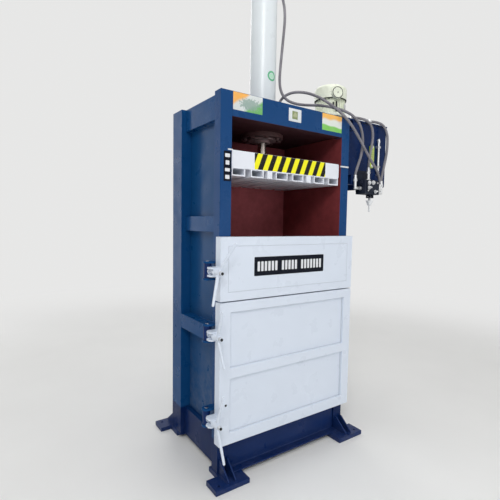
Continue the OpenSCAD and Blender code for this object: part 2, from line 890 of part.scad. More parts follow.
// Ears of one hinge, welded on the right front post.
module hinge_ears(z) {
    for (s = [-1, 1])
        translate([0, 0, z + s * (knuckle_h / 2 + ear_play + ear_t / 2) - ear_t / 2])
            linear_extrude(ear_t)
                difference() {
                    union() {
                        translate([hinge_x, hinge_y])
                            circle(d = knuckle_d);
                        polygon([
                            [half_w, front_y + front_post_d - 10], [half_w, front_y + 15], [half_w + 7, front_y + 5],
                            [hinge_x - knuckle_d / 2 + 2, hinge_y + 4], [hinge_x + knuckle_d / 2 - 2, hinge_y + 8],
                            [half_w + 20, front_y + front_post_d - 10]
                        ]);
                    }
                    translate([hinge_x, hinge_y])
                        circle(d = hinge_pin_d + 2 * pin_gap);
                }
}

module hinge_brackets() {
    color(BLUE)
        for (z = concat(UPPER_HINGES, LOWER_HINGES))
            hinge_ears(z);
}

module hinge_pins() {
    reach = knuckle_h / 2 + ear_play + ear_t;
    color(STEEL)
        for (z = concat(UPPER_HINGES, LOWER_HINGES))
            translate([hinge_x, hinge_y, z - reach - 6]) {
                cylinder(d = hinge_pin_d, h = 2 * reach + 6);
                translate([0, 0, 2 * reach + 6])
                    cylinder(d = hinge_pin_d * 1.5, h = 8);
            }
}

// Knuckle of a door: a tube on a web that is welded to the door's edge.
module door_knuckle(z) {
    translate([0, 0, z - knuckle_h / 2])
        difference() {
            union() {
                translate([hinge_x, hinge_y, 0])
                    cylinder(d = knuckle_d, h = knuckle_h);
                translate([door_x1, hinge_y - 14, 0])
                    cube([hinge_x - door_x1, 18, knuckle_h]);
            }
            translate([hinge_x, hinge_y, -eps])
                cylinder(d = hinge_pin_d + 2 * pin_gap, h = knuckle_h + 2 * eps);
        }
}

module upper_door_knuckles() {
    color(WHITE)
        for (z = UPPER_HINGES)
            door_knuckle(z);
}

module lower_door_knuckles() {
    color(WHITE)
        for (z = LOWER_HINGES)
            door_knuckle(z);
}

// Pair of bracket plates on the left front post, with the nut's pin holes.
module clamp_bracket(z) {
    for (s = [-1, 1])
        translate([0, 0, z + s * (bracket_gap + bracket_t) / 2 - bracket_t / 2])
            linear_extrude(bracket_t)
                difference() {
                    union() {
                        translate([clamp_x, clamp_nut_y])
                            circle(r = bracket_r);
                        translate([clamp_x, clamp_nut_y - bracket_r])
                            square([-half_w - clamp_x, 2 * bracket_r]);
                    }
                    translate([clamp_x, clamp_nut_y])
                        circle(d = screw_d - 4 + 0.2);
                }
}

module clamp_brackets() {
    color(BLUE)
        for (z = CLAMP_Z)
            clamp_bracket(z);
}

// Round nut with trunnions that sit in its bracket, bored along Y for the screw.
module clamp_nut(z) {
    translate([clamp_x, clamp_nut_y, z])
        difference() {
            union() {
                cylinder(d = nut_d, h = bracket_gap, center = true);
                cylinder(d = screw_d - 4, h = bracket_gap + 2 * bracket_t + 8, center = true);
            }
            rotate([90, 0, 0])
                cylinder(d = screw_d + 2 * nut_room, h = nut_d + 10, center = true);
        }
}

module clamp_nuts() {
    color(NAVY)
        for (z = CLAMP_Z)
            clamp_nut(z);
}

// Two plates on a door's edge that a clamp screw bears on.
module fork(z) {
    reach = door_x0 - clamp_x + fork_reach;
    for (s = [-1, 1])
        translate([door_x0 - reach, door_front, z + s * (fork_gap + fork_t) / 2 - fork_t / 2])
            linear_extrude(fork_t)
                difference() {
                    square([reach, door_t]);
                    for (c = [[0, 0, 0], [0, door_t, -90]])
                        translate([c[0], c[1]])
                            rotate(c[2])
                                polygon([[-eps, -eps], [14, -eps], [-eps, 14]]);
                }
}

module upper_door_fork() {
    color(WHITE) fork(clamp_top_z);
}

module lower_door_forks() {
    color(WHITE) {
        fork(clamp_mid_z);
        fork(clamp_low_z);
    }
}

// Handle arm from the hub's middle, swept forward.
module clamp_arm(l) {
    rotate([arm_sweep, 0, 0]) {
        cylinder(d1 = arm_d * 1.35, d2 = arm_d, h = l - arm_d / 2);
        translate([0, 0, l - arm_d / 2])
            sphere(d = arm_d);
    }
}

// Screw held captive in its fork by the hub in front and the collar behind.
module clamp_screw(z, turn, l) {
    hub_back = door_front - hub_play;
    hub_mid = hub_back - 8 - hub_l / 2;
    translate([clamp_x, 0, z])
        rotate([0, turn, 0]) {
            translate([0, screw_tip_y, 0])
                rotate([90, 0, 0])
                    cylinder(d = screw_d, h = screw_tip_y - hub_back + 8 + hub_l + screw_nose);
            translate([0, hub_back, 0])
                rotate([90, 0, 0])
                    cylinder(d = hub_d + 8, h = 8);
            translate([0, hub_back - 8, 0])
                rotate([90, 0, 0])
                    cylinder(d1 = hub_d, d2 = hub_d - 6, h = hub_l);
            translate([0, door_back + hub_play + collar_t, 0])
                rotate([90, 0, 0])
                    cylinder(d = fork_gap + 5, h = collar_t);
            translate([0, hub_mid, 0]) {
                clamp_arm(l);
                mirror([0, 0, 1]) clamp_arm(l);
            }
        }
}

module clamp_screw_top() {
    color(WHITE) clamp_screw(clamp_top_z, 23, arm_top_l);
}

module clamp_screw_middle() {
    color(WHITE) clamp_screw(clamp_mid_z, -3, arm_mid_l);
}

module clamp_screw_bottom() {
    color(WHITE) clamp_screw(clamp_low_z, -2, arm_low_l);
}

// Welded tank, open under its lid.
module oil_tank() {
    color(BLUE)
        translate([tank_x, tank_y, tank_z])
            difference() {
                cube([tank_w, tank_d, tank_h]);
                translate([tank_wall, tank_wall, tank_wall])
                    cube([tank_w - 2 * tank_wall, tank_d - 2 * tank_wall, tank_h]);
            }
}

module tank_lid() {
    color(BLUE)
        translate([tank_x - 8, tank_y - 8, tank_top])
            cube([tank_w + 16, tank_d + 16, lid_t]);
}

// Rails on the posts that the tank is bolted to, with two ledges under it.
module tank_rails() {
    color(BLUE) {
        for (z = [tank_z - 15, tank_top - rail_h - 20])
            translate([half_w, front_y + 5, z])
                difference() {
                    cube([rail_d, frame_d - 10, rail_h]);
                    translate([5, -eps, 5])
                        cube([rail_d - 10, frame_d, rail_h - 10]);
                }
        for (y = [tank_y + 60, tank_y + tank_d - 66])
            translate([tank_x, y + 6, tank_z])
                rotate([90, 0, 0])
                    linear_extrude(6)
                        polygon([[0, 0], [tank_w - 20, 0], [tank_w - 20, -12], [60, -50], [0, -50]]);
    }
}

module level_gauge() {
    gauge_w = 46;
    gauge_x = tank_x + tank_w / 2 + 55;
    gauge_z = tank_z + tank_h / 2 - 10;
    color(GAUGE)
        translate([gauge_x, tank_y, gauge_z])
            rotate([90, 0, 0])
                linear_extrude(14) {
                    translate([-gauge_w / 2, -70]) square([gauge_w, 140]);
                    translate([0, 70]) circle(d = gauge_w);
                    translate([0, -70]) circle(d = gauge_w);
                }
}

// Bright pipe down the tank's front with its two clips.
module return_pipe() {
    pipe_l = 240;
    pipe_x = tank_x + tank_w - 105;
    pipe_z = tank_z + (tank_h - pipe_l) / 2 - 10;
    color(STEEL) {
        translate([pipe_x, tank_y - 16, pipe_z])
            difference() {
                cylinder(d = 18, h = pipe_l);
                translate([0, 0, -eps]) cylinder(d = 13, h = pipe_l + 2 * eps);
            }
        for (z = [pipe_z + 35, pipe_z + pipe_l - 45])
            translate([pipe_x, tank_y, z])
                difference() {
                    translate([-16, -26, 0]) cube([32, 26, 16]);
                    translate([0, -16, -eps]) cylinder(d = 18, h = 16 + 2 * eps);
                }
    }
}

module breather_cap() {
    color(DARK)
        translate([tank_x + tank_w - 90, tank_y + tank_d - 90, lid_top]) {
            cylinder(d = 46, h = 18);
            translate([0, 0, 18]) cylinder(d = 76, h = 40);
            translate([0, 0, 58]) cylinder(d1 = 76, d2 = 60, h = 8);
        }
}

module bell_housing() {
    color(CREAM)
        translate([motor_x, 0, lid_top])
            rotate_extrude()
                polygon([
                    [0, 0], [105, 0], [105, 12], [86, 20], [86, bell_h - 18], [motor_d / 2, bell_h - 12],
                    [motor_d / 2, bell_h], [0, bell_h]
                ]);
}

// Motor frame with upright cooling fins.
module motor_frame() {
    fin_n = 28;
    color(CREAM)
        translate([motor_x, 0, motor_z]) {
            cylinder(d = motor_d - 28, h = motor_h);
            for (i = [0:fin_n - 1])
                rotate([0, 0, (i + 0.5) * 360 / fin_n])
                    translate([motor_d / 2 - 18, -2, 8])
                        cube([16, 4, motor_h - 8]);
            cylinder(d = motor_d - 4, h = 10);
            translate([0, 0, motor_h - 12]) cylinder(d = cowl_d, h = 12);
        }
}

// Rounded cowl over the motor's fan, with the round boss on its front.
module motor_cowl() {
    r = cowl_d / 2;
    color(CREAM)
        translate([motor_x, 0, cowl_z]) {
            rotate_extrude($fn = 72)
                difference() {
                    union() {
                        square([r, cowl_h - cowl_round]);
                        square([r - cowl_round, cowl_h]);
                        intersection() {
                            translate([r - cowl_round, cowl_h - cowl_round]) circle(r = cowl_round);
                            square([r, cowl_h]);
                        }
                    }
                    translate([-eps, -eps]) square([r - 3 + eps, cowl_h - cowl_round + eps]);
                }
            rotate([0, 0, -112])
                translate([r - 20, 0, boss_d / 2 + 2])
                    rotate([0, 90, 0]) {
                        cylinder(d = boss_d, h = 26);
                        translate([0, 0, 26]) cylinder(d1 = boss_d, d2 = boss_d - 16, h = 8);
                    }
        }
}

// Valve block on its plate, with the spool caps on its ends.
module valve_block() {
    color(DARK) {
        translate([valve_x, valve_front, valve_z])
            cube([valve_w, valve_d, valve_h]);
        translate([valve_x + 15, tank_y - 15, valve_z + 20])
            cube([valve_w - 30, 15, valve_h + 60]);
        translate([lever_x, valve_mid_y, valve_z - 26])
            difference() {
                translate([-22, -20, 0]) cube([44, 40, 27]);
                translate([-8, -21, -eps]) cube([16, 42, 30]);
                translate([-30, 0, 10])
                    rotate([0, 90, 0]) cylinder(d = 8.1, h = 60);
            }
    }
}

// Hand lever on its cross pin, with a tapered grip.
module valve_lever() {
    color(WHITE)
        translate([lever_x, valve_mid_y, valve_z - 16]) {
            rotate([0, 90, 0]) cylinder(d = 8, h = 46, center = true);
            difference() {
                translate([-7.5, -9, -30]) cube([15, 18, 38]);
            }
            translate([0, 0, -67]) cylinder(d1 = 30, d2 = 60, h = 38);
            translate([0, 0, -lever_l]) cylinder(d = 14, h = lever_l - 60);
            translate([0, 0, -lever_l]) sphere(d = 18);
        }
}

// Hexagon and pipe of an elbow along X, from a flat face at x_face to the bend above or below p.
module elbow_stub(x_face, p, z) {
    dir = p[0] > x_face ? 1 : -1;
    translate([x_face, p[1], z])
        rotate([0, dir * 90, 0]) {
            cylinder(d = hose_d + 14, h = 12, $fn = 6);
            cylinder(d = hose_d + 4, h = abs(p[0] - x_face));
        }
    translate([p[0], p[1], z]) sphere(d = hose_d + 4);
}

// Elbow from a side face to the upright end of a hose at p.
module elbow(x_face, p, z) {
    dir = p[2] > z ? 1 : -1;
    elbow_stub(x_face, p, z);
    translate([p[0], p[1], z])
        mirror([0, 0, dir > 0 ? 0 : 1])
            cylinder(d = hose_d + 4, h = abs(p[2] - z));
    translate(p)
        mirror([0, 0, dir > 0 ? 1 : 0])
            ferrule();
}

// Nut and crimped sleeve that end face to face with a hose at z = 0.
module ferrule() {
    cylinder(d = hose_d + 8, h = 26);
    translate([0, 0, 12])
        cylinder(d = hose_d + 14, h = 12, $fn = 6);
}

// Elbow on the tank's lid that points along X to a hose's end at p.
module lid_elbow(p) {
    riser_x = p[0] - 30;
    translate([riser_x, p[1], lid_top]) {
        cylinder(d = hose_d + 14, h = 8, $fn = 6);
        cylinder(d = hose_d + 4, h = p[2] - lid_top);
    }
    translate([riser_x, p[1], p[2]]) sphere(d = hose_d + 4);
    translate([riser_x, p[1], p[2]])
        rotate([0, 90, 0])
            cylinder(d = hose_d + 4, h = 30);
    translate(p)
        rotate([0, -90, 0])
            cylinder(d = hose_d + 8, h = 14);
}

// Straight fitting from the valve's top to the hose's end at p.
module top_fitting(p) {
    translate([p[0], p[1], valve_z + valve_h]) {
        cylinder(d = hose_d + 14, h = 12, $fn = 6);
        cylinder(d = hose_d + 4, h = p[2] - valve_z - valve_h);
    }
    translate(p)
        mirror([0, 0, 1])
            ferrule();
}

module hose_fittings() {
    color(STEEL) {
        elbow(port_face, CAP_HOSE[0], cap_port_z);
        elbow(port_face, ROD_HOSE[0], rod_port_z);
        elbow(valve_x, CAP_HOSE[len(CAP_HOSE) - 1], valve_z + 45);
        elbow(valve_x + valve_w, ROD_HOSE[len(ROD_HOSE) - 1], valve_z + 45);
        elbow(valve_x + valve_w, RETURN_HOSE[len(RETURN_HOSE) - 1], valve_z + 22);
        top_fitting(PUMP_HOSE[len(PUMP_HOSE) - 1]);
        lid_elbow(PUMP_HOSE[0]);
        lid_elbow(RETURN_HOSE[0]);
    }
}

// Round tube swept along a route: each ring lies square to the route there.
function unit(v) = v / norm(v);
function tangent(route, i) =
    i == 0 ? unit(route[1] - route[0]) :
    i == len(route) - 1 ? unit(route[i] - route[i - 1]) :
    unit(unit(route[i + 1] - route[i]) + unit(route[i] - route[i - 1]));
function side_axis(t) = unit(cross(t, abs(t[1]) < 0.8 ? [0, 1, 0] : [1, 0, 0]));
function ring(p, t, r, sides) =
    let (a = side_axis(t), b = cross(t, a))
    [for (k = [0:sides - 1]) p + r * (cos(360 * k / sides) * a + sin(360 * k / sides) * b)];

module hose(route) {
    sides = 10;
    last = len(route) - 1;
    points = [for (i = [0:last]) each ring(route[i], tangent(route, i), hose_d / 2, sides)];
    walls = [
        for (i = [0:last - 1]) for (k = [0:sides - 1])
            let (a = i * sides + k, b = i * sides + (k + 1) % sides)
            each [[a, a + sides, b], [b, a + sides, b + sides]]
    ];
    ends = [
        for (k = [1:sides - 2])
            each [[0, k, k + 1], [last * sides, last * sides + k + 1, last * sides + k]]
    ];
    color(GREY) polyhedron(points = points, faces = concat(walls, ends));
}

module hose_cap_end() { hose(CAP_HOSE); }
module hose_rod_end() { hose(ROD_HOSE); }
module hose_pump() { hose(PUMP_HOSE); }
module hose_return() { hose(RETURN_HOSE); }

front_post_left();
front_post_right();
rear_post_left();
rear_post_right();
crown_front_beam();
head_plate();
side_channels_left();
side_channels_right();
rear_channels();
side_sheet_left();
side_sheet_right();
back_sheet();
base_front_channel();
bed_channels();
bed_bearers();
feet();
platen_box();
platen_channels();
rod_coupling();
coupling_bolts();
cylinder_tube();
cylinder_cap();
cylinder_flange();
flange_bolts();
cylinder_gland();
piston();
piston_rod();
upper_door_skin();
upper_door_back();
lower_door_frame();
lower_door_panels();
lower_door_back();
hinge_brackets();
hinge_pins();
upper_door_knuckles();
lower_door_knuckles();
clamp_brackets();
clamp_nuts();
upper_door_fork();
lower_door_forks();
clamp_screw_top();
clamp_screw_middle();
clamp_screw_bottom();
oil_tank();
tank_lid();
tank_rails();
level_gauge();
return_pipe();
breather_cap();
bell_housing();
motor_frame();
motor_cowl();
valve_block();
valve_lever();
hose_fittings();
hose_cap_end();
hose_rod_end();
hose_pump();
hose_return();
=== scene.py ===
"""Looks of an upright baling press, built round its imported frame.

Every length is in metres in the frame's own axes: +X to the right of someone facing the
doors, +Y to the rear, +Z up, with the origin on the floor at the middle of the frame.
"""
import sys
import logging
import math
from dataclasses import dataclass
from enum import Enum
from functools import cached_property

import bmesh
import bpy
import numpy as np
from mathutils import Matrix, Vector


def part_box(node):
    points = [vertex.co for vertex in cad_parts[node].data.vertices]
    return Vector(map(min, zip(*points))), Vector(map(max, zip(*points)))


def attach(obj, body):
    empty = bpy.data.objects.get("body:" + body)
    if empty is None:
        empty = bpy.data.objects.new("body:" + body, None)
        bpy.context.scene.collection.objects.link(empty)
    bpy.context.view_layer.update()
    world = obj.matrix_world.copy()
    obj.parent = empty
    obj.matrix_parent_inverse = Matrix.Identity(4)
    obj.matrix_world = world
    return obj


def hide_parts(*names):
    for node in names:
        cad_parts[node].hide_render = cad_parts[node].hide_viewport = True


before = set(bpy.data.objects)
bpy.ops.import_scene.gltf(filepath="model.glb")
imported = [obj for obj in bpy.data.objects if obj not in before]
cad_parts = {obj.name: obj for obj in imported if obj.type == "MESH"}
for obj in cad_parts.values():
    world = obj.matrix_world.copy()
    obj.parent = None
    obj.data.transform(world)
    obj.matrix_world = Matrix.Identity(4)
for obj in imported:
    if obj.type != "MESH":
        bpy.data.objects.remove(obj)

log = logging.getLogger("baling_press")

Array = np.ndarray
Socket = bpy.types.NodeSocket
Triple = tuple[float, float, float]
Pair = tuple[float, float]

ROOT = "press_frame"
ENDS = (-1, 1)
X, Y, Z = np.eye(3)

# Length of a weld bead's ripple
RIPPLE = 0.007
# Distance under which points of a piece are merged
DOUBLES = 2e-6
# Depth that a label's back lies in the face under it
SUNK = 0.0001
# Radius of the welds that join plates
PLATE_BEAD = 0.003


# Surfaces


def unit(v: Array) -> Array:
    """Vectors divided by their own lengths, along the last axis."""
    return v / np.maximum(np.linalg.norm(v, axis=-1, keepdims=True), 1e-12)


def box_of(node: str) -> tuple[Array, Array]:
    """Lowest and highest corner of a frame node at rest, as two arrays."""
    low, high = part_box(node)
    return np.array(low, float), np.array(high, float)


def corners(a: Pair, b: Pair) -> list[Pair]:
    """The four corners of a rectangle, one after another."""
    return [(a[0], b[0]), (a[1], b[0]), (a[1], b[1]), (a[0], b[1])]


def closed(*steps: Pair) -> list[Pair]:
    """Profile (radius, height) led to the axis at the heights of its first and last step."""
    return [(0, steps[0][1]), *steps, (0, steps[-1][1])]


def ring(n: int) -> Array:
    """Unit circle of n points as (n, 2): cosine and sine of equal steps."""
    a = np.linspace(0, 2 * np.pi, n, endpoint=False)
    return np.stack([np.cos(a), np.sin(a)], -1)


def basis(axis: Array) -> tuple[Array, Array, Array]:
    """Two cross directions and the unit axis itself, right-handed.

    Args:
        axis: direction of any length.

    Returns:
        Two cross directions and the axis, each of length one.
    """
    w = unit(np.asarray(axis, float))
    u = unit(np.cross(Z if abs(w[2]) < 0.9 else X, w))
    return u, np.cross(w, u), w


def lathe(profile: Array, at: Array, axis: Array, n: int) -> Array:
    """Profile turned round an axis: point = at + r cos(a) u + r sin(a) v + h w.

    Args:
        profile: (rings, 2) radii and heights.
        at: foot of the axis.
        axis: direction of the axis.
        n: points in a ring.

    Returns:
        Points shaped (rings, n, 3).
    """
    u, v, w = basis(axis)
    c = ring(n)
    flat = c[:, :1] * u + c[:, 1:] * v
    profile = np.asarray(profile, float)
    return np.asarray(at, float) + profile[:, None, :1] * flat[None] + profile[:, None, 1:] * w


def sweep(path: Array, section: Array) -> Array:
    """Section carried along a path: point = path + x u + y v.

    The first cross direction u is carried from ring to ring by taking off its part along
    the new tangent, so that the section doesn't spin.

    Args:
        path: (stations, 3) points.
        section: (n, 2) or (stations, n, 2) points round the path.

    Returns:
        Points shaped (stations, n, 3).
    """
    t = unit(np.gradient(path, axis=0))
    u = np.empty_like(t)
    u[0] = basis(t[0])[0]
    for i in range(1, len(t)):
        u[i] = unit(u[i - 1] - (u[i - 1] @ t[i]) * t[i])
    v = np.cross(t, u)
    section = np.broadcast_to(section, (len(path),) + section.shape[-2:])
    return path[:, None] + section[..., :1] * u[:, None] + section[..., 1:] * v[:, None]


def smooth_path(points: Array, per_span: int) -> Array:
    """Catmull-Rom curve through the points, worked out as one array.

    Each span is 0.5 (2b + (c - a) t + (2a - 5b + 4c - d) t^2 + (3b - a - 3c + d) t^3), with the
    neighbours before the first and after the last point mirrored.

    Args:
        points: (n, 3) points that the curve goes through.
        per_span: steps in each span.

    Returns:
        Points of the curve.
    """
    p = np.vstack([2 * points[0] - points[1], points, 2 * points[-1] - points[-2]])
    a, b, c, d = (p[k : len(p) - 3 + k, None] for k in range(4))
    t = (np.arange(per_span) / per_span)[None, :, None]
    s = 0.5 * (2 * b + (c - a) * t + (2 * a - 5 * b + 4 * c - d) * t**2 + (3 * b - a - 3 * c + d) * t**3)
    return np.vstack([s.reshape(-1, 3), points[-1:]])


def rounded_rect(w: float, h: float, r: float, steps: int = 5) -> Array:
    """Outline of a rectangle with round corners: corner centre + r (cos a, sin a).

    Args:
        w: width.
        h: height.
        r: corner radius.
        steps: points in a corner.

    Returns:
        Points shaped (4 steps, 2), round the middle.
    """
    a = np.linspace(0, np.pi / 2, steps)[None] + np.arange(4)[:, None] * np.pi / 2
    sx, sy = np.array([1, -1, -1, 1])[:, None], np.array([1, 1, -1, -1])[:, None]
    return np.stack([sx * (w / 2 - r) + r * np.cos(a), sy * (h / 2 - r) + r * np.sin(a)], -1).reshape(-1, 2)


def ring_quads(nu: int, nv: int) -> tuple[Array, Array, Array]:
    """Quads between neighbouring points of closed rings.

    Args:
        nu: number of rings.
        nv: points in a ring.

    Returns:
        Ring and point numbers of each quad, and its four corners' numbers.
    """
    i, j = np.meshgrid(np.arange(nu - 1), np.arange(nv), indexing="ij")
    k = (j + 1) % nv
    return i, j, np.stack([i * nv + j, i * nv + k, (i + 1) * nv + k, (i + 1) * nv + j], -1).reshape(-1, 4)


class Shell:
    """Gathers surfaces and makes them one mesh object at the origin. Methods that add one return it."""

    def __init__(self, name: str) -> None:
        """Starts an empty shell.

        Args:
            name: name of the piece.
        """
        self.name = name
        self.points: list[Array] = []
        self.faces: list[list[int]] = []
        self.uvs: list[Array] = []
        self.count = 0

    def grid(self, p: Array, caps: bool = True, uv: Array | None = None) -> "Shell":
        """Adds the quads between neighbouring points of an array of closed rings.

        Args:
            p: points, shaped (rings, points in a ring, 3).
            caps: whether the first and last ring get a face.
            uv: optional (rings, points + 1, 2) texture coordinates.

        Returns:
            The shell itself.
        """
        nu, nv = p.shape[:2]
        i, j, quads = ring_quads(nu, nv)
        self.faces += (quads + self.count).tolist()
        if uv is None:
            uv = np.zeros((nu, nv + 1, 2))
        self.uvs.append(np.stack([uv[i, j], uv[i, j + 1], uv[i + 1, j + 1], uv[i + 1, j]], 2).reshape(-1, 2))
        if caps:
            first = np.arange(nv) + self.count
            self.faces += [first[::-1].tolist(), (first + (nu - 1) * nv).tolist()]
            self.uvs.append(np.zeros((2 * nv, 2)))
        self.points.append(p.reshape(-1, 3))
        self.count += nu * nv
        return self

    def turned(self, profile: list, at: Array, axis: Array, n: int = 32) -> "Shell":
        """Adds a profile turned round an axis from its foot, with n points in a ring."""
        return self.grid(lathe(profile, at, axis, n), caps=False)

    def rod(self, path: Array, r: float) -> "Shell":
        """Adds a plain round rod of radius r along a path."""
        return self.grid(sweep(path, ring(8) * r))

    def bead(self, a: Array, b: Array, r: float) -> "Shell":
        """Adds a straight weld bead whose radius ripples as r (1 + 0.16 |sin|), tapered at both ends.

        Args:
            a: one end.
            b: other end.
            r: radius of the bead.

        Returns:
            The shell itself.
        """
        a, b = np.asarray(a, float), np.asarray(b, float)
        length = float(np.linalg.norm(b - a))
        s = np.linspace(0, 1, max(8, int(length / RIPPLE * 3)))
        end = np.minimum(np.minimum(s, 1 - s) * length / (1.5 * r), 1)
        size = r * (1 + 0.16 * np.abs(np.sin(np.pi * s * length / RIPPLE))) * np.sqrt(np.clip(end, 0.02, 1))
        return self.grid(sweep(a + (b - a) * s[:, None], ring(7)[None] * size[:, None, None]))

    def bead_loop(self, points: list, r: float) -> "Shell":
        """Adds straight beads between each point and the next, and back to the first.

        Args:
            points: points of the loop.
            r: radius of the bead.

        Returns:
            The shell itself.
        """
        for a, b in zip(points, points[1:] + points[:1]):
            self.bead(a, b, r)
        return self

    def round_bead(self, at: Array, axis: Array, radius: float, r: float, n: int) -> "Shell":
        """Adds a rippled weld ring: a torus whose tube radius is r (1 + 0.15 sin(40 a)).

        Args:
            at: centre of the ring.
            axis: axis of the ring.
            radius: radius of the ring.
            r: radius of the bead.
            n: steps round the ring.

        Returns:
            The shell itself.
        """
        u, v, w = basis(axis)
        a = np.linspace(0, 2 * np.pi, n + 1)
        c = ring(8)
        tube = r * (1 + 0.15 * np.sin(40 * a))[:, None, None]
        out = np.cos(a)[:, None] * u + np.sin(a)[:, None] * v
        flat = (radius + tube * c[None, :, :1]) * out[:, None]
        return self.grid(np.asarray(at, float) + flat + tube * c[None, :, 1:] * w, caps=False)

    def slab(self, outline: Array, at: Array, t: float, edge: float, u: Array = X, v: Array = Z) -> "Shell":
        """Adds a plate with an eased rim, from its back face outwards along u x v.

        Rings follow the outline, shrunk by the easing at the first and last height.

        Args:
            outline: (n, 2) outline round its middle.
            at: middle of the back face.
            t: thickness.
            edge: easing of the rim.
            u: direction of the outline's first number.
            v: direction of its second.

        Returns:
            The shell itself.
        """
        small = outline * (1 - edge / np.abs(outline).max(0))
        loops = np.stack([small, outline, outline, small])
        heights = np.array([0, min(edge, t / 3), t - min(edge, t / 3), t])[:, None, None]
        p = np.asarray(at, float) + loops[..., :1] * u + loops[..., 1:] * v + heights * np.cross(u, v)
        return self.grid(p)

    def label(self, xs: Pair, zs: Pair, y: float, corner: float, t: float, edge: float) -> "Shell":
        """Adds a thin plate that is sunk a little into a face looking to the front.

        Args:
            xs: left and right edge.
            zs: lower and upper edge.
            y: face that it is on.
            corner: radius of its corners.
            t: thickness.
            edge: easing of the rim.

        Returns:
            The shell itself.
        """
        outline = rounded_rect(xs[1] - xs[0], zs[1] - zs[0], corner)
        return self.slab(outline, [sum(xs) / 2, y + SUNK, sum(zs) / 2], t, edge)

    def hex_bolt(self, at: Array, axis: Array, across: float, high: float, washer: float = 0.0) -> "Shell":
        """Adds a bolt head on its washer, with the head's corners turned down to a cone.

        Args:
            at: seat of the head.
            axis: direction that the head points in.
            across: width over the flats.
            high: height of the head.
            washer: thickness of the washer, or 0 for none.

        Returns:
            The shell itself.
        """
        at, axis = np.asarray(at, float), unit(np.asarray(axis, float))
        r = across / math.sqrt(3)
        if washer:
            self.turned(closed((r * 1.22, 0), (r * 1.22, washer)), at, axis)
        head = closed((r * 0.98, 0), (r, 0.001), (r, high * 0.8), (r * 0.86, high))
        return self.turned(head, at + axis * washer, axis, 6)

    def build(
        self, body: str, finish: "Finish", smooth_deg: float = 35.0, keep: tuple[str, ...] = ()
    ) -> bpy.types.Object:
        """Makes the mesh, merges doubles, turns faces outwards and links it as a piece of the press.

        Args:
            body: frame body that the piece moves with.
            finish: finish of the piece.
            smooth_deg: edges flatter than this are shaded smooth.
            keep: frame nodes that the piece stands for.

        Returns:
            The new object.
        """
        mesh = bpy.data.meshes.new(self.name)
        mesh.from_pydata(np.concatenate(self.points).tolist(), [], self.faces)
        layer = mesh.uv_layers.new(name="UVMap")
        layer.data.foreach_set("uv", np.concatenate(self.uvs).astype(np.float32).ravel())
        bm = bmesh.new()
        bm.from_mesh(mesh)
        bmesh.ops.remove_doubles(bm, verts=bm.verts, dist=DOUBLES)
        bmesh.ops.dissolve_degenerate(bm, edges=bm.edges, dist=DOUBLES)
        bmesh.ops.recalc_face_normals(bm, faces=bm.faces)
        bm.to_mesh(mesh)
        bm.free()
        mesh.polygons.foreach_set("use_smooth", np.ones(len(mesh.polygons), bool))
        mesh.set_sharp_from_angle(angle=math.radians(smooth_deg))
        mesh.materials.append(finish.material())
        piece = bpy.data.objects.new(self.name, mesh)
        bpy.context.scene.collection.objects.link(piece)
        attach(piece, body)
        if keep:
            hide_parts(*keep)
        log.info("%s: %d faces on %s", self.name, len(mesh.polygons), body)
        return piece


# Finishes


def scaled(colour: Triple, share: float) -> Triple:
    """Colour made darker or lighter by a share."""
    return tuple(c * share for c in colour)


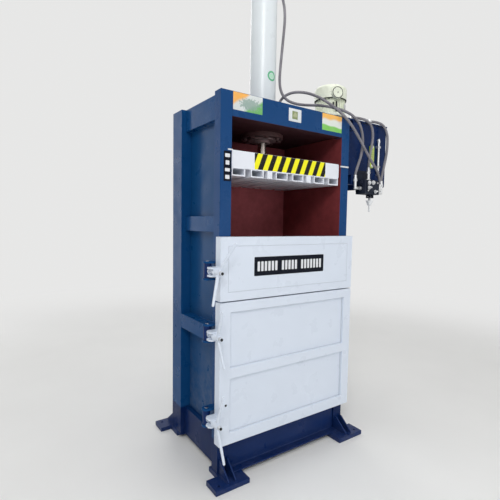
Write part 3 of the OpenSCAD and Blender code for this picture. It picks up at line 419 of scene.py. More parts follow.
class Graph:
    """Places and links the nodes of one tree."""

    def __init__(self, tree: bpy.types.NodeTree) -> None:
        """Keeps the tree."""
        self.tree = tree

    @cached_property
    def where(self) -> Socket:
        """Object coordinates, which are the frame's own."""
        return self.add("TexCoord").outputs["Object"]

    @cached_property
    def axes(self) -> list[Socket]:
        """X, Y and Z of the object coordinates."""
        return list(self.add("SeparateXYZ", {0: self.where}).outputs)

    def add(self, kind: str, inputs: dict | None = None, **settings: object) -> bpy.types.Node:
        """Adds one node.

        Args:
            kind: Blender's node type, without its ShaderNode prefix.
            inputs: values or sockets for its inputs.
            **settings: properties of the node.

        Returns:
            The node.
        """
        node = self.tree.nodes.new(kind if kind.startswith("Node") else "ShaderNode" + kind)
        for key, value in settings.items():
            setattr(node, key, value)
        self.feed(node, inputs or {})
        return node

    def feed(self, node: bpy.types.Node, inputs: dict) -> None:
        """Gives a node's inputs their values, or links them to sockets.

        Args:
            node: node of the tree.
            inputs: values or sockets by the names or numbers of its inputs.
        """
        for key, value in inputs.items():
            if isinstance(value, Socket):
                self.tree.links.new(value, node.inputs[key])
            else:
                node.inputs[key].default_value = value

    def shared(self, name: str, inputs: dict[str, float]) -> bpy.types.bpy_prop_collection:
        """Outputs of a shared group with its own values. The group is made when it is first asked for."""
        tree = bpy.data.node_groups.get(name) or SHARED[name](name)
        return self.add("Group", inputs, node_tree=tree).outputs

    def math(self, operation: str, *values: object, clamp: bool = False) -> Socket:
        """A Math node's result for up to three values or sockets."""
        return self.add("Math", dict(enumerate(values)), operation=operation, use_clamp=clamp).outputs[0]

    def times(self, a: object, b: object, clamp: bool = False) -> Socket:
        """Product of two values or sockets."""
        return self.math("MULTIPLY", a, b, clamp=clamp)

    def plus(self, a: object, b: object, clamp: bool = False) -> Socket:
        """Sum of two values or sockets."""
        return self.math("ADD", a, b, clamp=clamp)

    def minus(self, a: object, b: object, clamp: bool = False) -> Socket:
        """Difference of two values or sockets."""
        return self.math("SUBTRACT", a, b, clamp=clamp)

    def most(self, a: object, b: object) -> Socket:
        """The larger of two values or sockets."""
        return self.math("MAXIMUM", a, b)

    def spread(self, value: Socket, low: float, high: float, start: float = 0.0, end: float = 1.0) -> Socket:
        """Value carried from low..high to start..end, held at both ends."""
        return self.add("MapRange", {0: value, 1: low, 2: high, 3: start, 4: end}, clamp=True).outputs[0]

    def mix(self, share: object, a: object, b: object) -> Socket:
        """Colour a turned into colour b by the share."""
        a, b = (v if isinstance(v, Socket) else (*v, 1.0) for v in (a, b))
        return self.add("Mix", {0: share, 6: a, 7: b}, data_type="RGBA").outputs[2]

    def noise(self, scale: float, detail: float, rough: float = 0.5, where: Socket | None = None) -> Socket:
        """Fractal noise between about 0.3 and 0.7.

        Args:
            scale: how fine the pattern is.
            detail: number of finer layers.
            rough: weight of the finer layers.
            where: coordinates, or None for the object's own.

        Returns:
            The noise.
        """
        where = self.where if where is None else where
        inputs = {"Vector": where, "Scale": scale, "Detail": detail, "Roughness": rough}
        return self.add("TexNoise", inputs).outputs[0]

    def drawn(self, scale: Triple, detail: float, rough: float, turn: Triple = (0, 0, 0)) -> Socket:
        """Noise drawn out by a scale for each axis, after a turn."""
        where = self.add("Mapping", {"Vector": self.where, "Scale": scale, "Rotation": turn}).outputs[0]
        return self.noise(1.0, detail, rough, where)

    def bump(self, shader: bpy.types.Node, height: Socket, distance: float) -> None:
        """Feeds a height to a shader's normal, where 1 stands for the distance."""
        node = self.add("Bump", {"Height": height, "Distance": distance})
        self.feed(shader, {"Normal": node.outputs[0]})

    def seen(self) -> Socket:
        """One for rays from the camera and for reflected and transmitted ones, else nought."""
        path = self.add("LightPath").outputs
        return self.most(path["Is Camera Ray"], self.most(path["Is Glossy Ray"], path["Is Transmission Ray"]))


def group(
    name: str, inputs: dict[str, float], outputs: tuple[str, ...]
) -> tuple[Graph, bpy.types.Node, bpy.types.Node]:
    """Starts a shared shader group with named number sockets.

    Args:
        name: name of the group.
        inputs: input sockets with their usual values.
        outputs: names of the output sockets.

    Returns:
        Its graph, group input and group output.
    """
    tree = bpy.data.node_groups.new(name, "ShaderNodeTree")
    kind = "NodeSocketFloat"
    for key, value in inputs.items():
        tree.interface.new_socket(name=key, in_out="INPUT", socket_type=kind).default_value = value
    for key in outputs:
        tree.interface.new_socket(name=key, in_out="OUTPUT", socket_type=kind)
    g = Graph(tree)
    return g, g.add("NodeGroupInput"), g.add("NodeGroupOutput")


def shop_grime_and_sheen(name: str) -> bpy.types.NodeTree:
    """Dirt masks: a run mask from noise drawn out downwards, and a mask that fades with height: floor dust,
    and on the side sheets a pale painted sheen that stands for the floor's reflection.

    Args:
        name: name of the group.

    Returns:
        The group's tree.
    """
    g, here, out = group(name, {"Runs": 0.3, "Dust_and_sheen": 0.5, "Dust height": 0.35}, ("Mask", "Dust_and_sheen"))
    runs, dust_and_sheen, height = here.outputs[:3]
    drawn = g.spread(g.drawn((34, 34, 2.2), 4, 0.6), 0.52, 0.78)
    mask = g.times(drawn, g.spread(g.noise(3.2, 3), 0.42, 0.66))
    low = g.minus(1.0, g.math("DIVIDE", g.axes[2], height), clamp=True)
    cloud = g.spread(g.noise(18, 5, 0.65), 0.36, 0.68)
    dust_and_sheen_mask = g.times(g.times(g.math("POWER", low, 1.6), cloud), dust_and_sheen, clamp=True)
    g.feed(out, {"Mask": g.times(mask, runs, clamp=True), "Dust_and_sheen": dust_and_sheen_mask})
    return g.tree


def sprayed_skin(name: str) -> bpy.types.NodeTree:
    """Height of sprayed paint on sheet: fine peel, and slow waves of the sheet under it.

    Args:
        name: name of the group.

    Returns:
        The group's tree.
    """
    g, here, out = group(name, {"Peel": 0.5, "Waves": 0.5}, ("Height", "Roughness"))
    peel = g.times(g.noise(420, 2), here.outputs["Peel"])
    wave = g.times(g.noise(3.4, 1), g.times(here.outputs["Waves"], 9.0))
    g.feed(out, {"Height": g.plus(peel, wave), "Roughness": g.spread(g.noise(9, 4), 0.3, 0.7, -0.06, 0.08)})
    return g.tree


def rub_marks(name: str) -> bpy.types.NodeTree:
    """Mask of rubs and chips: two sets of noise drawn out along different ways, cut where they are high.

    Args:
        name: name of the group.

    Returns:
        The group's tree.
    """
    g, here, out = group(name, {"Amount": 0.3}, ("Mask",))
    flat = g.spread(g.drawn((7, 60, 90), 5, 0.7, (0.4, 0.9, 0.2)), 0.655, 0.68)
    steep = g.spread(g.drawn((80, 40, 9), 5, 0.7, (1.2, 0.1, 0.7)), 0.665, 0.69)
    chips = g.spread(g.noise(46, 6, 0.72), 0.69, 0.71)
    g.feed(out, {"Mask": g.times(g.most(g.most(flat, steep), chips), here.outputs["Amount"], clamp=True)})
    return g.tree


SHARED = {"Shop grime": shop_grime_and_sheen, "Sprayed skin": sprayed_skin, "Rub marks": rub_marks}


@dataclass(frozen=True)
class Finish:
    """A finish with its plain values. Subclasses add what shows on its surface."""

    name: str
    slot: str
    colour: Triple
    rough: float = 0.4
    metallic: float = 0.0
    coat: float = 0.0
    specular: float = 0.4

    def material(self) -> bpy.types.Material:
        """The finish's material, built the first time it is asked for.

        Returns:
            The material.
        """
        found = bpy.data.materials.get(self.name)
        if found is None:
            found = bpy.data.materials.new(self.name)
            found.use_nodes = True
            found.node_tree.nodes.clear()
            g = Graph(found.node_tree)
            plain = {"Roughness": self.rough, "Metallic": self.metallic, "Coat Weight": self.coat}
            plain |= {"Base Color": (*self.colour, 1), "Specular IOR Level": self.specular}
            shader = g.add("BsdfPrincipled", plain)
            g.add("OutputMaterial", {"Surface": shader.outputs[0]})
            self.dress(g, shader)
        return found

    def dress(self, g: Graph, shader: bpy.types.Node) -> None:
        """Adds the surface's own detail; the plain finish has a little unevenness only.

        Args:
            g: graph of the material.
            shader: its shader.
        """
        rough = g.spread(g.noise(90, 4), 0.3, 0.7, max(self.rough - 0.06, 0.02), self.rough + 0.08)
        colour = g.mix(g.spread(g.noise(40, 4), 0.35, 0.65, 0, 0.3), self.colour, scaled(self.colour, 0.8))
        g.feed(shader, {"Base Color": colour, "Roughness": rough})


class Region(Enum):
    """Where a paint's second colour lies: number of the axis, limit along it, and lowest height."""

    NONE = (0, 0.0, 0.0)
    INSIDE_X = (0, 0.4775, 0.0)
    INSIDE_Y = (1, 0.3175, 0.0)
    POST = (0, 0.4756, 0.300)
    # Below these two heights the crown's and ceiling's second colours are darkened as painted shade.
    UNDER = (2, 2.2515, 0.0)
    CEILING = (2, 2.2750, 0.0)


@dataclass(frozen=True)
class Paint(Finish):
    """Sprayed paint with runs, dust (on the side sheets mostly a painted sheen of the floor's reflection),
    rubs down to what is under it, and peel.

    Below `low_z` it has the base's colour. The pointers that stand out past `post_face` are pale.
    """

    under: Triple = (0.10, 0.09, 0.09)
    dirt: Triple = (0.12, 0.11, 0.10)
    dust_and_sheen_tone: Triple = (0.36, 0.33, 0.30)
    runs: float = 0.05
    dust_and_sheen: float = 0.0
    dust_and_sheen_height: float = 0.35
    rubs: float = 0.0
    peel: float = 0.5
    waves: float = 0.0
    fade: float = 0.10
    region: Region = Region.NONE
    second: Triple = (0.225, 0.041, 0.045)
    second_rough: float = 0.62
    post_face: float = -0.3504
    mark: Triple = (0.74, 0.76, 0.78)
    low: Triple = (0.002, 0.016, 0.085)
    low_z: float = 0.0

    def dress(self, g: Graph, shader: bpy.types.Node) -> None:
        """Layers the paint: base shades, second colour, dust and painted sheen, runs and rubs.

        Args:
            g: graph of the material.
            shader: its shader.
        """
        faded = tuple(min(c * (1 + self.fade) + 0.006, 1) for c in self.colour)
        base = g.mix(g.spread(g.noise(2.6, 4, 0.6), 0.3, 0.7), self.colour, faded)
        rough = self.rough
        if self.low_z:
            base = g.mix(g.spread(g.axes[2], self.low_z - 0.006, self.low_z + 0.006, 1, 0), base, self.low)
        if self.region is not Region.NONE:
            inside = self.inside(g)
            speck = g.spread(g.noise(14, 5, 0.65), 0.3, 0.7)
            base = g.mix(inside, base, g.mix(speck, self.second, scaled(self.second, 0.72)))
            rough = g.plus(rough, g.times(inside, self.second_rough - rough))
        if self.region is Region.POST:
            base = g.mix(g.math("LESS_THAN", g.axes[1], self.post_face), base, self.mark)
        dirt = {"Runs": self.runs, "Dust_and_sheen": self.dust_and_sheen, "Dust height": self.dust_and_sheen_height}
        grime_and_sheen = g.shared("Shop grime", dirt)
        rub = g.shared("Rub marks", {"Amount": self.rubs})["Mask"]
        skin = g.shared("Sprayed skin", {"Peel": self.peel, "Waves": self.waves})
        # The low dust layer also paints the floor's reflection on the side sheets as a pale sheen.
        colour = g.mix(grime_and_sheen["Dust_and_sheen"], g.mix(grime_and_sheen["Mask"], base, self.dirt), self.dust_and_sheen_tone)
        worn = g.plus(g.plus(rough, skin["Roughness"]), g.times(grime_and_sheen["Dust_and_sheen"], 0.35))
        worn = g.plus(worn, g.times(grime_and_sheen["Mask"], 0.2), clamp=True)
        g.feed(shader, {"Base Color": g.mix(rub, colour, self.under), "Roughness": worn})
        g.bump(shader, g.minus(skin["Height"], g.times(rub, 0.5)), 0.00022)

    def inside(self, g: Graph) -> Socket:
        """Mask of the second colour, from the frame's own coordinates.

        It is where y or z is below the region's limit or, for x, where |x| is and z is above a height.

        Args:
            g: graph of the material.

        Returns:
            The mask.
        """
        axis, limit, lowest = self.region.value
        if axis:
            return g.math("LESS_THAN", g.axes[axis], limit)
        between = g.math("LESS_THAN", g.math("ABSOLUTE", g.axes[0]), limit)
        return g.times(between, g.math("GREATER_THAN", g.axes[2], lowest))


@dataclass(frozen=True)
class Metal(Finish):
    """Bare metal with fine grain across an axis, and a light stain."""

    grain: Triple = (300, 300, 12)
    stain: Triple = (0.20, 0.14, 0.10)
    stained: float = 0.25

    def dress(self, g: Graph, shader: bpy.types.Node) -> None:
        """Adds grain and stains.

        Args:
            g: graph of the material.
            shader: its shader.
        """
        grain = g.drawn(self.grain, 3, 0.6)
        spot = g.times(g.spread(g.noise(22, 6, 0.7), 0.5, 0.72), self.stained)
        even = g.spread(grain, 0.3, 0.7, self.rough - 0.07, self.rough + 0.09)
        metallic = g.minus(self.metallic, g.times(spot, 0.6), clamp=True)
        colour = g.mix(spot, self.colour, self.stain)
        rough = g.plus(even, g.times(spot, 0.3))
        g.feed(shader, {"Base Color": colour, "Metallic": metallic, "Roughness": rough})
        g.bump(shader, grain, 0.00004)


@dataclass(frozen=True)
class Braid(Finish):
    """Woven cover of a hose: two crossing sets of strands from the piece's own UV map."""

    strands: float = 12.0
    pitch: float = 0.034

    def dress(self, g: Graph, shader: bpy.types.Node) -> None:
        """Weaves the strands as the larger of two shifted waves.

        Args:
            g: graph of the material.
            shader: its shader.
        """
        uv = g.add("SeparateXYZ", {0: g.add("UVMap").outputs[0]}).outputs
        about = g.times(uv[0], self.strands)
        along = g.times(g.math("DIVIDE", uv[1], self.pitch), self.strands)
        ways = (g.plus(about, along), g.minus(about, along))
        waves = (g.math("SINE", g.times(way, math.tau)) for way in ways)
        weave = g.times(g.plus(g.most(*waves), 1.0), 0.5)
        base = g.mix(g.spread(g.noise(12, 4), 0.35, 0.7), self.colour, scaled(self.colour, 1.35))
        gap = g.spread(weave, 0.1, 0.75, 0.55, 0.0)
        g.feed(shader, {"Base Color": g.mix(gap, base, scaled(self.colour, 0.35))})
        g.bump(shader, weave, 0.0005)


@dataclass(frozen=True)
class Stripes(Finish):
    """Slanted warning stripes: a saw wave of x minus lean times z, cut at the share of the second colour."""

    second: Triple = (0.93, 0.88, 0.02)
    rubbed: Triple = (0.42, 0.41, 0.36)
    start: float = -0.307
    pitch: float = 0.0785
    share: float = 0.50
    lean: float = 0.40
    base_z: float = 1.96

    def dress(self, g: Graph, shader: bpy.types.Node) -> None:
        """Cuts the stripes and wears them a little.

        Args:
            g: graph of the material.
            shader: its shader.
        """
        across = g.minus(g.minus(g.axes[0], self.start), g.times(g.minus(g.axes[2], self.base_z), self.lean))
        saw = g.math("FRACT", g.math("DIVIDE", across, self.pitch))
        inside = g.times(g.spread(saw, 0.0, 0.02), g.spread(saw, self.share, self.share + 0.02, 1, 0))
        worn = g.spread(g.noise(60, 6, 0.7), 0.62, 0.7, 0, 0.35)
        rough = g.spread(g.noise(25, 3), 0.3, 0.7, self.rough - 0.05, self.rough + 0.12)
        colour = g.mix(worn, g.mix(inside, self.colour, self.second), self.rubbed)
        g.feed(shader, {"Base Color": colour, "Roughness": rough})


@dataclass(frozen=True)
class Field:
    """One printed field: its colour lies above a straight line z = height + lean (x - middle)."""

    height: float
    lean: float
    tone: Triple
    wave: float = 0.0
    soft: float = 0.0008


@dataclass(frozen=True)
class Bands(Finish):
    """Plain printed fields on a plate, one over another, and a soft blot in the middle."""

    middle: float = 0.0
    fields: tuple[Field, ...] = ()
    blot: tuple[float, float, float, float] | None = None
    blot_tone: Triple = (0.20, 0.26, 0.20)
    bleached: Triple = (0.55, 0.54, 0.5)
    ripples: float = 62.0

    def dress(self, g: Graph, shader: bpy.types.Node) -> None:
        """Stacks the fields and the blot.

        The blot is where ((x - bx) / rx)^2 + ((z - bz) / rz)^2 plus noise is under one.

        Args:
            g: graph of the material.
            shader: its shader.
        """
        across = g.minus(g.axes[0], self.middle)
        colour = self.colour
        for item in self.fields:
            ripple = g.times(g.math("SINE", g.times(across, self.ripples)), item.wave)
            level = g.minus(g.minus(g.axes[2], g.times(across, item.lean)), ripple)
            above = g.spread(level, item.height - item.soft, item.height + item.soft)
            colour = g.mix(above, colour, item.tone)
        if self.blot is not None:
            bx, bz, rx, rz = self.blot
            u, v = (g.math("DIVIDE", g.minus(g.axes[k], b), r) for k, b, r in ((0, bx, rx), (2, bz, rz)))
            ragged = g.times(g.minus(g.noise(85, 3, 0.6), 0.5), 3.6)
            torn = g.plus(g.plus(g.times(u, u), g.times(v, v)), ragged)
            colour = g.mix(g.spread(torn, 0.55, 0.95, 0.85, 0.0), colour, self.blot_tone)
        faded = g.spread(g.noise(30, 5, 0.65), 0.45, 0.75, 0, 0.15)
        g.feed(shader, {"Base Color": g.mix(faded, colour, self.bleached)})


@dataclass(frozen=True)
class Clear(Finish):
    """Clear moulded plastic with a plain transmission weight."""

    through: float = 0.9
    ior: float = 1.49

    def dress(self, g: Graph, shader: bpy.types.Node) -> None:
        """Sets the plain values of clear plastic."""
        g.feed(shader, {"Transmission Weight": self.through, "IOR": self.ior})


@dataclass(frozen=True)
class Finishes:
    """Every finish of the press, by what it covers."""

    blue: Finish = Paint(
        "frame_enamel", "blue_paint", (0.003, 0.055, 0.178), 0.30, specular=0.09, runs=0.03, dust_and_sheen=0.05,
        waves=0.3, low_z=0.240)
    # Under the crown beam its second colour is the chamber's maroon, darkened as painted shade.
    crown: Finish = Paint(
        "crown_enamel_and_painted_shade", "blue_paint", (0.006, 0.052, 0.172), 0.30, specular=0.12, waves=0.3,
        region=Region.UNDER, second=(0.060, 0.018, 0.022))
    post: Finish = Paint(
        "post_enamel", "blue_paint", (0.006, 0.052, 0.172), 0.30, specular=0.10, runs=0.04, dust_and_sheen=0.05,
        waves=0.3, region=Region.POST, low_z=0.240)
    tank: Finish = Paint(
        "tank_enamel", "blue_paint", (0.001, 0.015, 0.078), 0.28, specular=0.10, runs=0.06, rubs=0.02,
        waves=0.4, fade=0.12)
    # Its pale layer, fading up to 1.2 m, is a painted reflection of the floor on the lower side sheets.
    sheet_side: Finish = Paint(
        "side_sheet_paint", "red_oxide", (0.003, 0.054, 0.166), 0.32, specular=0.09, runs=0.03, dust_and_sheen=0.30,
        dust_and_sheen_height=1.2, waves=0.6, region=Region.INSIDE_X, low_z=0.240)
    sheet_back: Finish = Paint(
        "back_sheet_paint", "red_oxide", (0.006, 0.050, 0.160), 0.32, specular=0.12, dust_and_sheen=0.06, waves=0.6,
        region=Region.INSIDE_Y, second=(0.400, 0.098, 0.112), low_z=0.240)
    navy: Finish = Paint(
        "base_enamel", "navy_paint", (0.002, 0.018, 0.095), 0.32, specular=0.15, runs=0.06, dust_and_sheen=0.08,
        dust_and_sheen_height=0.12, rubs=0.03, waves=0.4, fade=0.15)
    white: Finish = Paint(
        "door_enamel", "white_paint", (0.68, 0.745, 0.85), 0.30, coat=0.1, under=(0.48, 0.50, 0.55),
        dirt=(0.56, 0.59, 0.66), runs=0.02, dust_and_sheen=0.04, dust_and_sheen_height=0.5, peel=0.45, waves=0.5, fade=0.02)
    # Darker grey copy of the door white: painted shade along the door's recess edges and border line.
    groove: Finish = Paint(
        "door_seam_shade", "white_paint", (0.54, 0.585, 0.66), 0.45, specular=0.2, dirt=(0.40, 0.43, 0.50),
        runs=0.02, peel=0.3, fade=0.06)
    ram_white: Finish = Paint(
        "platen_enamel", "white_paint", (0.76, 0.79, 0.86), 0.36, coat=0.05, under=(0.50, 0.46, 0.45),
        dirt=(0.50, 0.46, 0.45), runs=0.12, rubs=0.08, waves=0.25, fade=0.06)
    tube_white: Finish = Paint(
        "cylinder_enamel", "white_paint", (0.72, 0.77, 0.80), 0.32, coat=0.1, under=(0.5, 0.5, 0.52),
        dirt=(0.50, 0.50, 0.50), runs=0.10, rubs=0.04, fade=0.05)
    oxide: Finish = Paint(
        "oxide_primer", "red_oxide", (0.160, 0.038, 0.036), 0.6, specular=0.3, under=(0.24, 0.18, 0.16),
        dirt=(0.06, 0.03, 0.03), runs=0.35, dust_and_sheen=0.3, rubs=0.25, peel=0.9, waves=0.2, fade=0.3)
    # Below the head plate's top the second colour is the chamber's maroon, darkened as painted shade under
    # the ceiling.
    ceiling: Finish = Paint(
        "ceiling_primer_and_painted_shade", "red_oxide", (0.006, 0.052, 0.172), 0.45, specular=0.12, under=(0.14, 0.08, 0.08),
        dirt=(0.03, 0.02, 0.02), runs=0.2, rubs=0.10, peel=0.6, waves=0.2, fade=0.15, region=Region.CEILING,
        second=(0.055, 0.017, 0.019))
    # The gland's red-oxide primer is lightened to paint the highlight on its lit ring.
    gland: Finish = Paint(
        "gland_primer_painted_highlight", "red_oxide", (0.200, 0.130, 0.130), 0.34, under=(0.26, 0.22, 0.21),
        dirt=(0.04, 0.03, 0.03), runs=0.25, rubs=0.2, fade=0.2)
    # The flange's red-oxide primer, also on the coupling and flange bolts, is darkened as painted shade.
    flange: Finish = Paint(
        "flange_primer_painted_shade", "red_oxide", (0.070, 0.032, 0.032), 0.42, specular=0.3, under=(0.22, 0.18, 0.17),
        dirt=(0.03, 0.02, 0.02), runs=0.35, rubs=0.35, peel=0.6, fade=0.3)
    cream: Finish = Paint(
        "motor_enamel", "motor_paint", (0.80, 0.84, 0.70), 0.42, coat=0.05, under=(0.46, 0.46, 0.38),
        dirt=(0.42, 0.42, 0.34), runs=0.14, rubs=0.05, peel=1.0, waves=0.1, fade=0.05)
    casting: Finish = Paint(
        "valve_casting", "cast_iron", (0.006, 0.010, 0.022), 0.5, specular=0.2, under=(0.12, 0.12, 0.13),
        dirt=(0.03, 0.03, 0.03), runs=0.3, rubs=0.15, peel=2.4, fade=0.4)
    steel: Finish = Metal("turned_steel", "bare_steel", (0.56, 0.57, 0.59), 0.34, 1.0)
    zinc: Finish = Metal(
        "plated_fittings", "bare_steel", (0.74, 0.75, 0.76), 0.30, 0.85, stain=(0.32, 0.30, 0.25),
        stained=0.2)
    # The rod's pinkish-brown colour is a painted reflection of the maroon chamber; its reddish stains are
    # partly oil and partly that painted reflection.
    chrome: Finish = Metal(
        "oiled_rod_painted_reflection", "chrome", (0.46, 0.41, 0.38), 0.20, 1.0, grain=(60, 60, 500), stain=(0.16, 0.07, 0.05),
        stained=0.35)
    mint: Finish = Finish("mint_mark", "white_paint", (0.50, 0.82, 0.62))
    grip: Finish = Finish("pale_grip", "pale_grip", (0.72, 0.74, 0.75), 0.35, coat=0.2)
    hose: Finish = Braid("hose_cover", "hose_rubber", (0.205, 0.197, 0.220), 0.55)
    # Dark parts, joints and slots; on the motor's cowl it is also a painted shadow.
    dark: Finish = Finish("dark_recess_and_painted_shadow", "cast_iron", (0.012, 0.012, 0.014), 0.6)
    rubber: Finish = Finish("dark_rubber", "hose_rubber", (0.03, 0.03, 0.032), 0.7)
    stripes: Finish = Stripes("warning_stripes", "white_paint", (0.006, 0.006, 0.007), specular=0.2)
    sign_black: Finish = Finish("sign_black", "white_paint", (0.003, 0.005, 0.012), specular=0.1)
    sign_white: Finish = Finish("sign_white", "white_paint", (0.74, 0.76, 0.80), 0.35, coat=0.2)
    oil: Finish = Finish("gauge_oil", "gauge_plastic", (0.50, 0.66, 0.035), 0.15, coat=0.5)
    clear: Finish = Clear("gauge_window", "gauge_plastic", (0.92, 0.98, 0.90), 0.06)
    green: Finish = Finish("green_mark", "white_paint", (0.13, 0.50, 0.27))
    red: Finish = Finish("red_line", "gauge_plastic", (0.6, 0.02, 0.02), 0.3)


FINISH = Finishes()


# Sub-assemblies


@dataclass
class SubAssembly:
    """A sub-assembly of the press: reads its place from the frame and builds its pieces."""

    body: str = ROOT

    def build(self) -> None:
        """Builds the pieces. Each sub-assembly has its own."""
        raise NotImplementedError


@dataclass
class FrameWelds(SubAssembly):
    """Weld beads of the frame: crown, side and rear channels, and feet."""

    crown_r: float = 0.0018
    channel_r: float = 0.0024
    foot_r: float = 0.004
    channels: tuple[Pair, ...] = ((1.550, 1.650), (0.845, 0.945))
    post_y: Pair = (-0.350, -0.275)
    gusset_x: tuple[float, ...] = (0.4845, 0.4955, 0.5345, 0.5455)
    gusset_y: Pair = (0.354, 0.466)

    def build(self) -> None:
        """Builds the crown's, channels' and feet's beads as three pieces."""
        low, high = box_of("crown_front_beam")
        top = high[2] - 0.004
        shell = Shell("crown_weld_beads")
        for x in (-high[0], high[0]):
            shell.bead([x, low[1], low[2]], [x, low[1], top], self.crown_r)
            shell.bead([x, low[1] + 0.004, low[2]], [x, high[1], low[2]], self.crown_r)
        shell.build(self.body, FINISH.blue)
        self.channel_beads(((low[2], top), *self.channels))
        self.foot_beads()

    def channel_beads(self, levels: tuple[Pair, ...]) -> None:
        """Builds the beads along the channels on the side sheets and the back sheet.

        Args:
            levels: lower and upper edge of each channel.
        """
        r = self.channel_r
        heights = [z + s * r / 2 for edges in levels for z, s in zip(edges, ENDS)]
        sheet = box_of("side_sheet_right")[1][0] + 0.001
        shell = Shell("channel_weld_beads")
        for node, x in (("side_channels_left", -sheet), ("side_channels_right", sheet)):
            low, high = box_of(node)
            for z in heights:
                shell.bead([x, low[1] + 0.01, z], [x, high[1] - 0.01, z], r)
        low, high = box_of("rear_channels")
        for z in heights:
            shell.bead([low[0] + 0.08, low[1] + 0.001, z], [high[0] - 0.08, low[1] + 0.001, z], r)
        shell.build(self.body, FINISH.blue)

    def foot_beads(self) -> None:
        """Builds the beads round the posts' feet and along the gussets."""
        low, high = box_of("front_post_right")
        rear_low, rear_high = box_of("rear_post_right")
        z = low[2] + 0.001
        shell = Shell("foot_weld_beads")
        for s in ENDS:
            front = corners((s * (low[0] + 0.008), s * high[0]), self.post_y)
            rear = corners((s * rear_low[0], s * high[0]), (rear_low[1], rear_high[1]))
            for spots in (front, rear):
                shell.bead_loop([[x, y, z] for x, y in spots], self.foot_r)
            for end in ENDS:
                for x in self.gusset_x:
                    near, far = ([s * x, end * y, z] for y in self.gusset_y)
                    shell.bead(near, far, PLATE_BEAD)
        shell.build(self.body, FINISH.navy)


@dataclass
class HingeTrim(SubAssembly):
    """Beads and grease nipples of the hinges."""

    heights: tuple[tuple[str, Pair], ...] = (("upper_door", (1.210, 1.450)), ("lower_door", (0.340, 1.030)))
    ear_faces: tuple[float, ...] = (-0.0305, -0.0445, 0.0305, 0.0445)
    ear_y: Pair = (-0.334, -0.287)
    knuckle_y: Pair = (-0.3665, -0.3525)
    half_knuckle: float = 0.029
    knuckle_r: float = 0.0028
    nipple_x: float = 0.6086
    nipple: tuple[Pair, ...] = (
        (0, 0), (0.0042, 0), (0.0042, 0.0035), (0.0022, 0.0042), (0.0022, 0.006), (0.0032, 0.0072),
        (0.002, 0.009), (0, 0.0095))

    def build(self) -> None:
        """Builds the ears' beads on the frame, and the knuckles' beads and the nipples on each door."""
        ears = Shell("hinge_weld_beads")
        ear_x = box_of("front_post_right")[1][0] + 0.0008
        for body, heights in self.heights:
            knuckle = Shell(f"{body}_knuckle_beads")
            nipples = Shell(f"{body}_grease_nipples")
            edge = box_of(f"{body}_knuckles")[0][0] + 0.0005
            for z in heights:
                for face in self.ear_faces:
                    front, rear = ([ear_x, y, z + face] for y in self.ear_y)
                    ears.bead(front, rear, PLATE_BEAD)
                for y in self.knuckle_y:
                    foot, top = ([edge, y, z + s * self.half_knuckle] for s in ENDS)
                    knuckle.bead(foot, top, self.knuckle_r)
                nipples.turned(self.nipple, [self.nipple_x, -0.352, z], X, 16)
            knuckle.build(body, FINISH.white)
            nipples.build(body, FINISH.zinc)
        ears.build(self.body, FINISH.blue)


@dataclass
class CylinderTrim(SubAssembly):
    """Beads and the round mark of the cylinder."""

    mark_deg: float = -84.5
    mark_z: float = 2.666
    port_z: Pair = (2.350, 3.492)
    port_r: float = 0.0172

    def build(self) -> None:
        """Builds the cap's and ports' beads, and the round green mark on the tube's front."""
        high = box_of("cylinder_tube")[1]
        r = high[1]
        shell = Shell("cylinder_weld_beads").round_bead([0, 0, high[2] - 0.001], Z, r + 0.002, 0.0042, 200)
        for z in self.port_z:
            shell.grid(self.saddle(r, z), caps=False)
        shell.build(self.body, FINISH.tube_white)
        ring_mark = Shell("cylinder_mark_ring").grid(self.patch(r, 0.0225, 0.0355), caps=False)
        ring_mark.build(self.body, FINISH.green)
        dot_mark = Shell("cylinder_mark_dot").grid(self.patch(r, 0.0, 0.0175), caps=False)
        dot_mark.build(self.body, FINISH.mint)

    def patch(self, tube: float, inner: float, outer: float, n: int = 72) -> Array:
        """Thin ring laid on the tube.

        With s = q cos a the point is (R cos(b + s / R), R sin(b + s / R), z + q sin a).

        Args:
            tube: radius of the tube.
            inner: inner radius of the ring, as it lies on the tube.
            outer: its outer radius.
            n: steps round it.

        Returns:
            Points shaped (5, n, 3), from the outer edge over the face and back under it.
        """
        q = np.array([outer, outer, inner, inner, outer])[:, None]
        r = tube + np.array([-0.0004, 0.0004, 0.0004, -0.0004, -0.0004])[:, None]
        c = ring(n)
        turn = math.radians(self.mark_deg) + q * c[:, 0] / tube
        return np.stack([r * np.cos(turn), r * np.sin(turn), self.mark_z + q * c[:, 1]], -1)

    def saddle(self, tube: float, z: float, r: float = 0.0035, n: int = 96) -> Array:
        """Bead where a boss along X meets the tube: its line is (sqrt(R^2 - y^2), y, z), with y = b cos a.

        Args:
            tube: radius of the tube.
            z: height of the boss.
            r: radius of the bead.
            n: steps round the boss.

        Returns:
            Points shaped (n + 1, 8, 3).
        """
        a = np.linspace(0, 2 * np.pi, n + 1)
        y, rise = self.port_r * np.cos(a), self.port_r * np.sin(a)
        line = np.stack([np.sqrt(tube**2 - y**2), y, z + rise], -1)
        out = np.stack([np.zeros(n + 1), np.cos(a), np.sin(a)], -1)
        c = ring(8)
        size = r * (1 + 0.15 * np.abs(np.sin(9 * a)))[:, None, None]
        return line[:, None] + size * (c[None, :, :1] * out[:, None] + c[None, :, 1:] * X)


